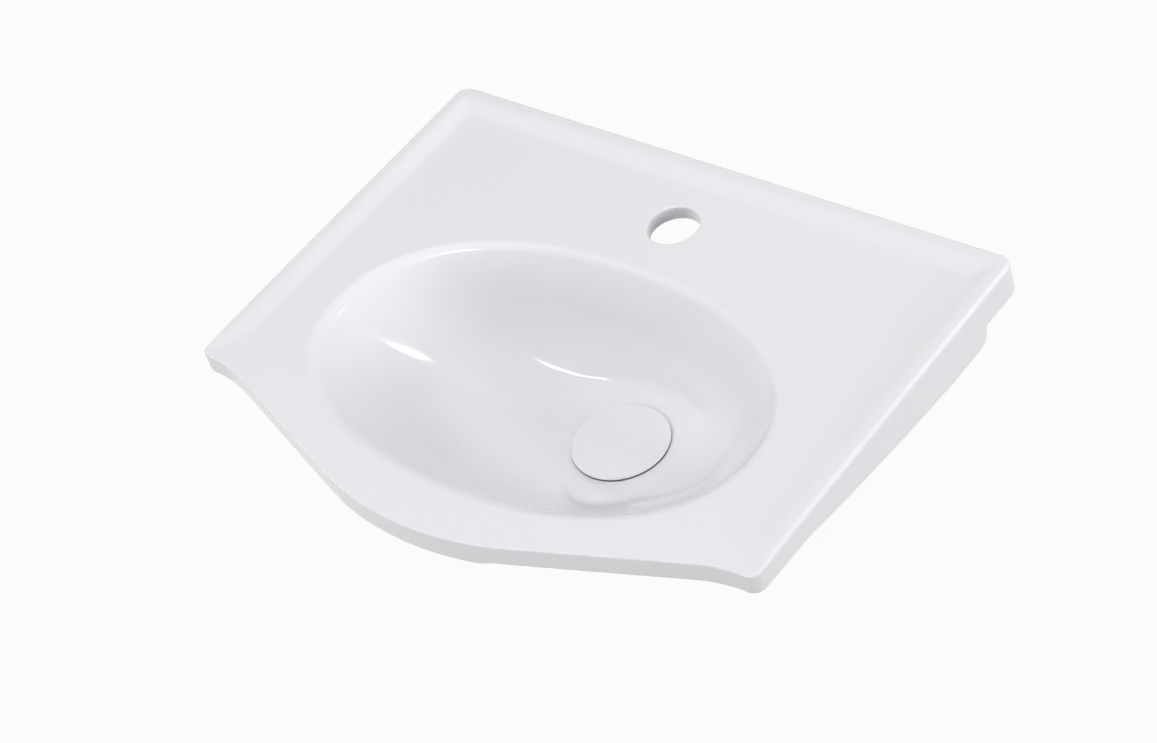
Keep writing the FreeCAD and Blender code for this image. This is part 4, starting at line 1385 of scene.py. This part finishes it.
@dataclass(frozen=True)
class Glaze(Finish):
    """White glaze over cast clay: faint pooling, long soft waves, and bare clay on the wall face."""

    colour: Colour = (0.858, 0.851, 0.886)
    thin: Colour = (0.868, 0.861, 0.889)
    clay: Colour = (0.70, 0.675, 0.63)
    rough: Point = (0.07, 0.12)
    wave: float = 0.00005
    bare_wall: bool = False

    def wire(self, recipe: Recipe) -> dict[str, object]:
        """Wires the glaze; see Finish.wire."""
        tone = SharedEffect.place(recipe, "mottle", Light=self.colour, Dark=self.thin,
                                  Scale=9.0, Contrast=0.55)
        relief = SharedEffect.place(recipe, "relief", Wave_Scale=22.0, Wave_Height=self.wave,
                                    Grain_Scale=420.0, Grain_Height=0.0000004)
        edge = SharedEffect.place(recipe, "worn_edge", Low=0.53, High=0.64, Scale=160.0)
        colour = recipe.blend(recipe.math("MULTIPLY", edge["Mask"], 0.5), tone["Color"], self.thin)
        rough = recipe.ramp(relief["Grain"], 0.3, 0.7, *self.rough)
        if self.bare_wall:
            place = recipe.node("SeparateXYZ", {0: recipe.node("TexCoord").outputs["Object"]}).outputs
            ragged = recipe.ramp(relief["Grain"], 0.3, 0.7, -0.0004, 0.0004)
            bare = recipe.ramp(recipe.math("ADD", place[1], ragged), -0.0012, -0.0006)
            colour = recipe.blend(bare, colour, self.clay)
            rough = recipe.math("MAXIMUM", rough, recipe.math("MULTIPLY", bare, 0.85))
        return {"Base Color": colour, "Roughness": rough, "IOR": 1.52, "Height": relief["Height"]}


@dataclass(frozen=True)
class Metal(Finish):
    """A turned, plated or drawn metal with tarnish patches, lathe rings and bright edges."""

    light: Colour
    dark: Colour
    bright: Colour
    rough: Point
    patches: float = 60.0
    contrast: float = 0.6
    rings: float = 2600.0
    ring_height: float = 0.000004
    grain_height: float = 0.000001

    def wire(self, recipe: Recipe) -> dict[str, object]:
        """Wires the metal; see Finish.wire."""
        tone = SharedEffect.place(recipe, "mottle", Light=self.light, Dark=self.dark,
                                  Scale=self.patches, Contrast=self.contrast)
        marks = SharedEffect.place(recipe, "tool_marks", Rings=self.rings, Height=self.ring_height)
        relief = SharedEffect.place(recipe, "relief", Wave_Scale=200.0, Wave_Height=0.0,
                                    Grain_Scale=2400.0, Grain_Height=self.grain_height)
        edge = SharedEffect.place(recipe, "worn_edge", Low=0.54, High=0.66, Scale=500.0)
        spread = recipe.math("ADD", recipe.math("MULTIPLY", tone["Mask"], 0.6),
                             recipe.math("MULTIPLY", marks["Mask"], 0.5))
        return {"Metallic": 1.0, "Base Color": recipe.blend(edge["Mask"], tone["Color"], self.bright),
                "Roughness": recipe.ramp(spread, 0.15, 0.75, *self.rough),
                "Height": recipe.math("ADD", marks["Height"], relief["Height"])}


@dataclass(frozen=True)
class Moulded(Finish):
    """Moulded rubber, foam or plastic: bloom in patches and a fine grain."""

    light: Colour
    dark: Colour
    rough: Point
    patches: float = 45.0
    grain: float = 1500.0
    grain_height: float = 0.00001
    contrast: float = 0.8

    def wire(self, recipe: Recipe) -> dict[str, object]:
        """Wires the moulding; see Finish.wire."""
        tone = SharedEffect.place(recipe, "mottle", Light=self.light, Dark=self.dark,
                                  Scale=self.patches, Contrast=self.contrast)
        relief = SharedEffect.place(recipe, "relief", Wave_Scale=120.0, Wave_Height=0.00002,
                                    Grain_Scale=self.grain, Grain_Height=self.grain_height)
        return {"Base Color": tone["Color"], "Roughness": recipe.ramp(relief["Grain"], 0.3, 0.7, *self.rough),
                "Height": relief["Height"]}


def finishes() -> dict[Slot, bpy.types.Material]:
    """Makes the material of every slot.

    Returns:
        The materials by slot.
    """
    brass = {"light": (0.60, 0.43, 0.17), "dark": (0.42, 0.28, 0.11), "bright": (0.82, 0.66, 0.34)}
    steel = {"light": (0.50, 0.51, 0.53), "dark": (0.38, 0.39, 0.42), "bright": (0.70, 0.71, 0.73)}
    recipes = {
        Slot.BASIN_GLAZE: Glaze("basin_white_glaze", bare_wall=True),
        Slot.COVER_GLAZE: Glaze("cover_white_glaze", wave=0.00002),
        Slot.CARRIER_BRASS: Metal("carrier_turned_brass", rough=(0.2, 0.36), **brass),
        Slot.LATCH_BRASS: Metal("latch_turned_brass", rough=(0.2, 0.34), ring_height=0.000003, **brass),
        Slot.NUT_BRASS: Metal("nut_cast_brass", rough=(0.3, 0.5), grain_height=0.000006, contrast=0.8,
                              **brass),
        Slot.SEAL_RUBBER: Moulded("seal_moulded_rubber", (0.022, 0.022, 0.024), (0.04, 0.04, 0.042),
                                  (0.45, 0.6)),
        Slot.BLACK_RUBBER: Moulded("ring_moulded_rubber", (0.018, 0.018, 0.02), (0.038, 0.037, 0.036),
                                   (0.55, 0.75)),
        Slot.FOAM_RUBBER: Moulded("ring_closed_foam", (0.26, 0.27, 0.29), (0.2, 0.21, 0.22), (0.75, 0.92),
                                  90.0, 2200.0, 0.00003),
        Slot.WHITE_NYLON: Moulded("washer_white_nylon", (0.66, 0.65, 0.61), (0.6, 0.59, 0.54), (0.35, 0.5),
                                  grain_height=0.000003),
        Slot.WASTE_CHROME: Metal("waste_bright_chrome", (0.62, 0.63, 0.65), (0.56, 0.57, 0.6),
                                 (0.72, 0.73, 0.74), (0.06, 0.16), ring_height=0.0000006, contrast=0.5),
        Slot.BRIGHT_STEEL: Metal("fitting_bright_steel", rough=(0.24, 0.4), **steel),
        Slot.SPRING_STEEL: Metal("spring_drawn_wire", rough=(0.22, 0.36), rings=4200.0, ring_height=0.000001,
                                 **steel),
    }
    return {slot: recipe.make() for slot, recipe in recipes.items()}


# ---- studio ----


@dataclass(frozen=True)
class Softbox:
    """One lamp aimed at the basin: a mirrored one only shows in glossy surfaces, the rest only light."""

    name: str
    azimuth: float
    elevation: float
    distance: float
    wide: float
    tall: float
    power: float
    roll: float = 0.0
    mirrored: bool = False


@dataclass(frozen=True)
class Studio:
    """Plain pale floor, soft lamps and the camera at the photograph's viewing angle."""

    aim: Place = (0.0, -0.17, -0.03)
    floor_height: float = -0.172
    floor_reach: float = 9.0
    world_level: float = 0.04
    glow: float = 0.95
    camera_place: Place = (1.07839, -1.05752, 1.24468)
    azimuth: float = 50.53
    elevation: float = 42.20
    roll: float = -18.56
    lens: float = 92.97
    sensor: float = 36.0
    clip: Point = (0.05, 60.0)
    lamps: tuple[Softbox, ...] = (
        Softbox("overhead_soft", 100.0, 80.0, 2.2, 1.0, 1.0, 13.5),
        Softbox("left_soft", -75.0, 40.0, 2.2, 1.4, 1.0, 6.7),
        Softbox("front_high_soft", -4.0, 40.0, 2.2, 1.4, 0.9, 19.0),
        Softbox("back_high_soft", 150.0, 50.0, 2.2, 1.4, 0.9, 15.5),
        Softbox("right_soft", 100.0, 6.0, 2.4, 2.0, 0.5, 27.5),
        Softbox("low_left_soft", -20.0, 8.0, 2.4, 2.0, 0.5, 10.0),
        Softbox("front_left_window", 13.0, 20.0, 1.85, 0.66, 0.3, 7.5, 47.0, True),
        Softbox("front_right_window", 30.0, 29.0, 1.85, 0.8, 0.16, 4.4, 0.0, True),
        Softbox("right_back_window", 132.0, 32.5, 1.8, 0.30, 0.10, 1.0, -26.0, True),
    )

    @staticmethod
    def towards(azimuth: float, elevation: float) -> Vector:
        """The direction from the basin to a place: azimuth 0 is the front, 90 the right side."""
        a, e = math.radians(azimuth), math.radians(elevation)
        return Vector((math.sin(a) * math.cos(e), -math.cos(a) * math.cos(e), math.sin(e)))

    @staticmethod
    def stand(name: str, data: bpy.types.ID, place: Place | Vector, level: Quaternion,
              roll: float) -> Piece:
        """Puts a lamp or the camera into the scene.

        Args:
            name: Name of the object.
            data: Its lamp or camera.
            place: Where it stands.
            level: Its turn while its sides are level.
            roll: Degrees it is then turned about its own line of sight.
        Returns:
            The new object.
        """
        holder = bpy.data.objects.new(name, data)
        holder.location = place
        holder.rotation_mode = "QUATERNION"
        holder.rotation_quaternion = level @ Quaternion((0.0, 0.0, 1.0), math.radians(roll))
        bpy.context.scene.collection.objects.link(holder)
        return holder

    def light(self) -> None:
        """Adds the lamps and the world."""
        for lamp in self.lamps:
            data = bpy.data.lights.new(lamp.name, "AREA")
            data.shape = "RECTANGLE"
            data.size, data.size_y, data.energy = lamp.wide, lamp.tall, lamp.power
            way = self.towards(lamp.azimuth, lamp.elevation)
            holder = self.stand(lamp.name, data, Vector(self.aim) + way * lamp.distance,
                                way.to_track_quat("Z", "Y"), lamp.roll)
            holder.visible_glossy = lamp.mirrored
            holder.visible_diffuse = not lamp.mirrored
        world = bpy.data.worlds.new("white_room")
        world.use_nodes = True
        bpy.context.scene.world = world
        recipe = Recipe(world.node_tree)
        level = recipe.ramp(self._seen(recipe), 0.0, 1.0, self.world_level, 1.0)
        back = recipe.node("Background", {"Color": WHITE, "Strength": level})
        recipe.node("OutputWorld", {"Surface": back.outputs[0]})

    @staticmethod
    def _seen(recipe: Recipe) -> Socket:
        """One for a ray that shows the background itself: from the camera, a gloss or a glass."""
        path = recipe.node("LightPath").outputs
        both = recipe.math("MAXIMUM", path["Is Camera Ray"], path["Is Glossy Ray"])
        return recipe.math("MAXIMUM", both, path["Is Transmission Ray"])

    def floor(self) -> None:
        """Adds the floor: a large flat sheet, white where it is seen, with the basin's shadow."""
        x, y = np.meshgrid(*[np.linspace(-self.floor_reach, self.floor_reach, 3) / METRES] * 2)
        skin = Skin()
        skin.cover(skin.add(lifted(np.stack([x, y], -1), self.floor_height / METRES)), around=False)
        sheet = skin.mesh("studio_floor")
        material, recipe = new_material("studio_pale_floor")
        tone = SharedEffect.place(recipe, "mottle", Light=(0.46, 0.46, 0.46), Dark=(0.44, 0.44, 0.44),
                                  Scale=2.0, Contrast=0.5)
        matt = recipe.node("BsdfDiffuse", {"Color": tone["Color"]})
        glow = recipe.node("Emission", {"Color": WHITE, "Strength": 1.0})
        share = recipe.math("MULTIPLY", self._seen(recipe), self.glow)
        mixed = recipe.node("MixShader", {0: share, 1: matt.outputs[0], 2: glow.outputs[0]})
        recipe.node("OutputMaterial", {"Surface": mixed.outputs[0]})
        sheet.data.materials.append(material)
        sheet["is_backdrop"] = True

    def camera(self) -> None:
        """Adds the camera and makes it the scene's."""
        data = bpy.data.cameras.new("studio_camera")
        data.lens, data.sensor_width = self.lens, self.sensor
        data.clip_start, data.clip_end = self.clip
        way = -self.towards(self.azimuth, self.elevation)
        level = way.to_track_quat("-Z", "Y")
        bpy.context.scene.camera = self.stand("studio_camera", data, self.camera_place, level, self.roll)

    def build(self) -> None:
        """Sets up the whole studio and the plain view transform."""
        self.floor()
        self.light()
        self.camera()
        bpy.context.scene.view_settings.view_transform = "Standard"


# ---- putting it together ----


def dress(piece: Piece, material: bpy.types.Material) -> None:
    """Gives a piece its only material."""
    piece.data.materials.clear()
    piece.data.materials.append(material)


def corners() -> list[list[float]]:
    """The shown object's lowest and highest corner as plain numbers."""
    return [[float(value) for value in corner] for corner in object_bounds()]


def main() -> None:
    """Loads the frame, builds and dresses every piece, and sets up the studio."""
    logging.basicConfig(level=logging.INFO, format="%(message)s")
    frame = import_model()
    paint = finishes()
    body, cover, waste, latch = BasinBody(), Cover(), Waste(), Latch()
    size = waste.size
    foam = waste.ring("waste_flange_gasket", size.foam_radius, size.seat, size.flange_under, 0.4)
    rubber = waste.ring("waste_under_gasket", size.rubber_radius, size.washer_top, size.floor_under, 1.0)
    washer = waste.ring("waste_slip_washer", size.washer_radius, size.nut_top, size.washer_top, 0.35)
    pieces = [
        (body.build("basin_glazed_body"), "basin_body", Body.BASIN, Slot.BASIN_GLAZE),
        (cover.disc(), "waste_cap", Body.COVER, Slot.COVER_GLAZE),
        (cover.carrier(), "cap_carrier", Body.COVER, Slot.CARRIER_BRASS),
        (cover.seal(), "cap_seal", Body.COVER, Slot.SEAL_RUBBER),
        (cover.lock_nut(), "cap_lock_nut", Body.COVER, Slot.BRIGHT_STEEL),
        (waste.tube(), "waste_body", Body.BASIN, Slot.WASTE_CHROME),
        (foam, "flange_gasket", Body.BASIN, Slot.FOAM_RUBBER),
        (rubber, "under_gasket", Body.BASIN, Slot.BLACK_RUBBER),
        (washer, "slip_washer", Body.BASIN, Slot.WHITE_NYLON),
        (waste.nut(), "back_nut", Body.BASIN, Slot.NUT_BRASS),
        (latch.pin(), "latch_pin", Body.FOLLOWER, Slot.BRIGHT_STEEL),
    ]
    for piece, node, rides, slot in pieces:
        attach(piece, rides.value)
        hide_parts(node)
        dress(piece, paint[slot])
        log.info("%s stands for %s on %s, %d faces", piece.name, node, rides.value, len(piece.data.polygons))
    spring = latch.spring()
    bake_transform(spring)
    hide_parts("latch_spring")
    dress(spring, paint[Slot.SPRING_STEEL])
    log.info("%s stands for latch_spring between two bodies", spring.name)
    kept = {"latch_plunger": Slot.LATCH_BRASS, "latch_cage": Slot.LATCH_BRASS,
            "plunger_clip": Slot.SPRING_STEEL}
    for node, slot in kept.items():
        dress(frame["nodes"][node], paint[slot])
        log.info("%s keeps its own shape", node)
    Studio().build()


if __name__ == "__main__":
    main()
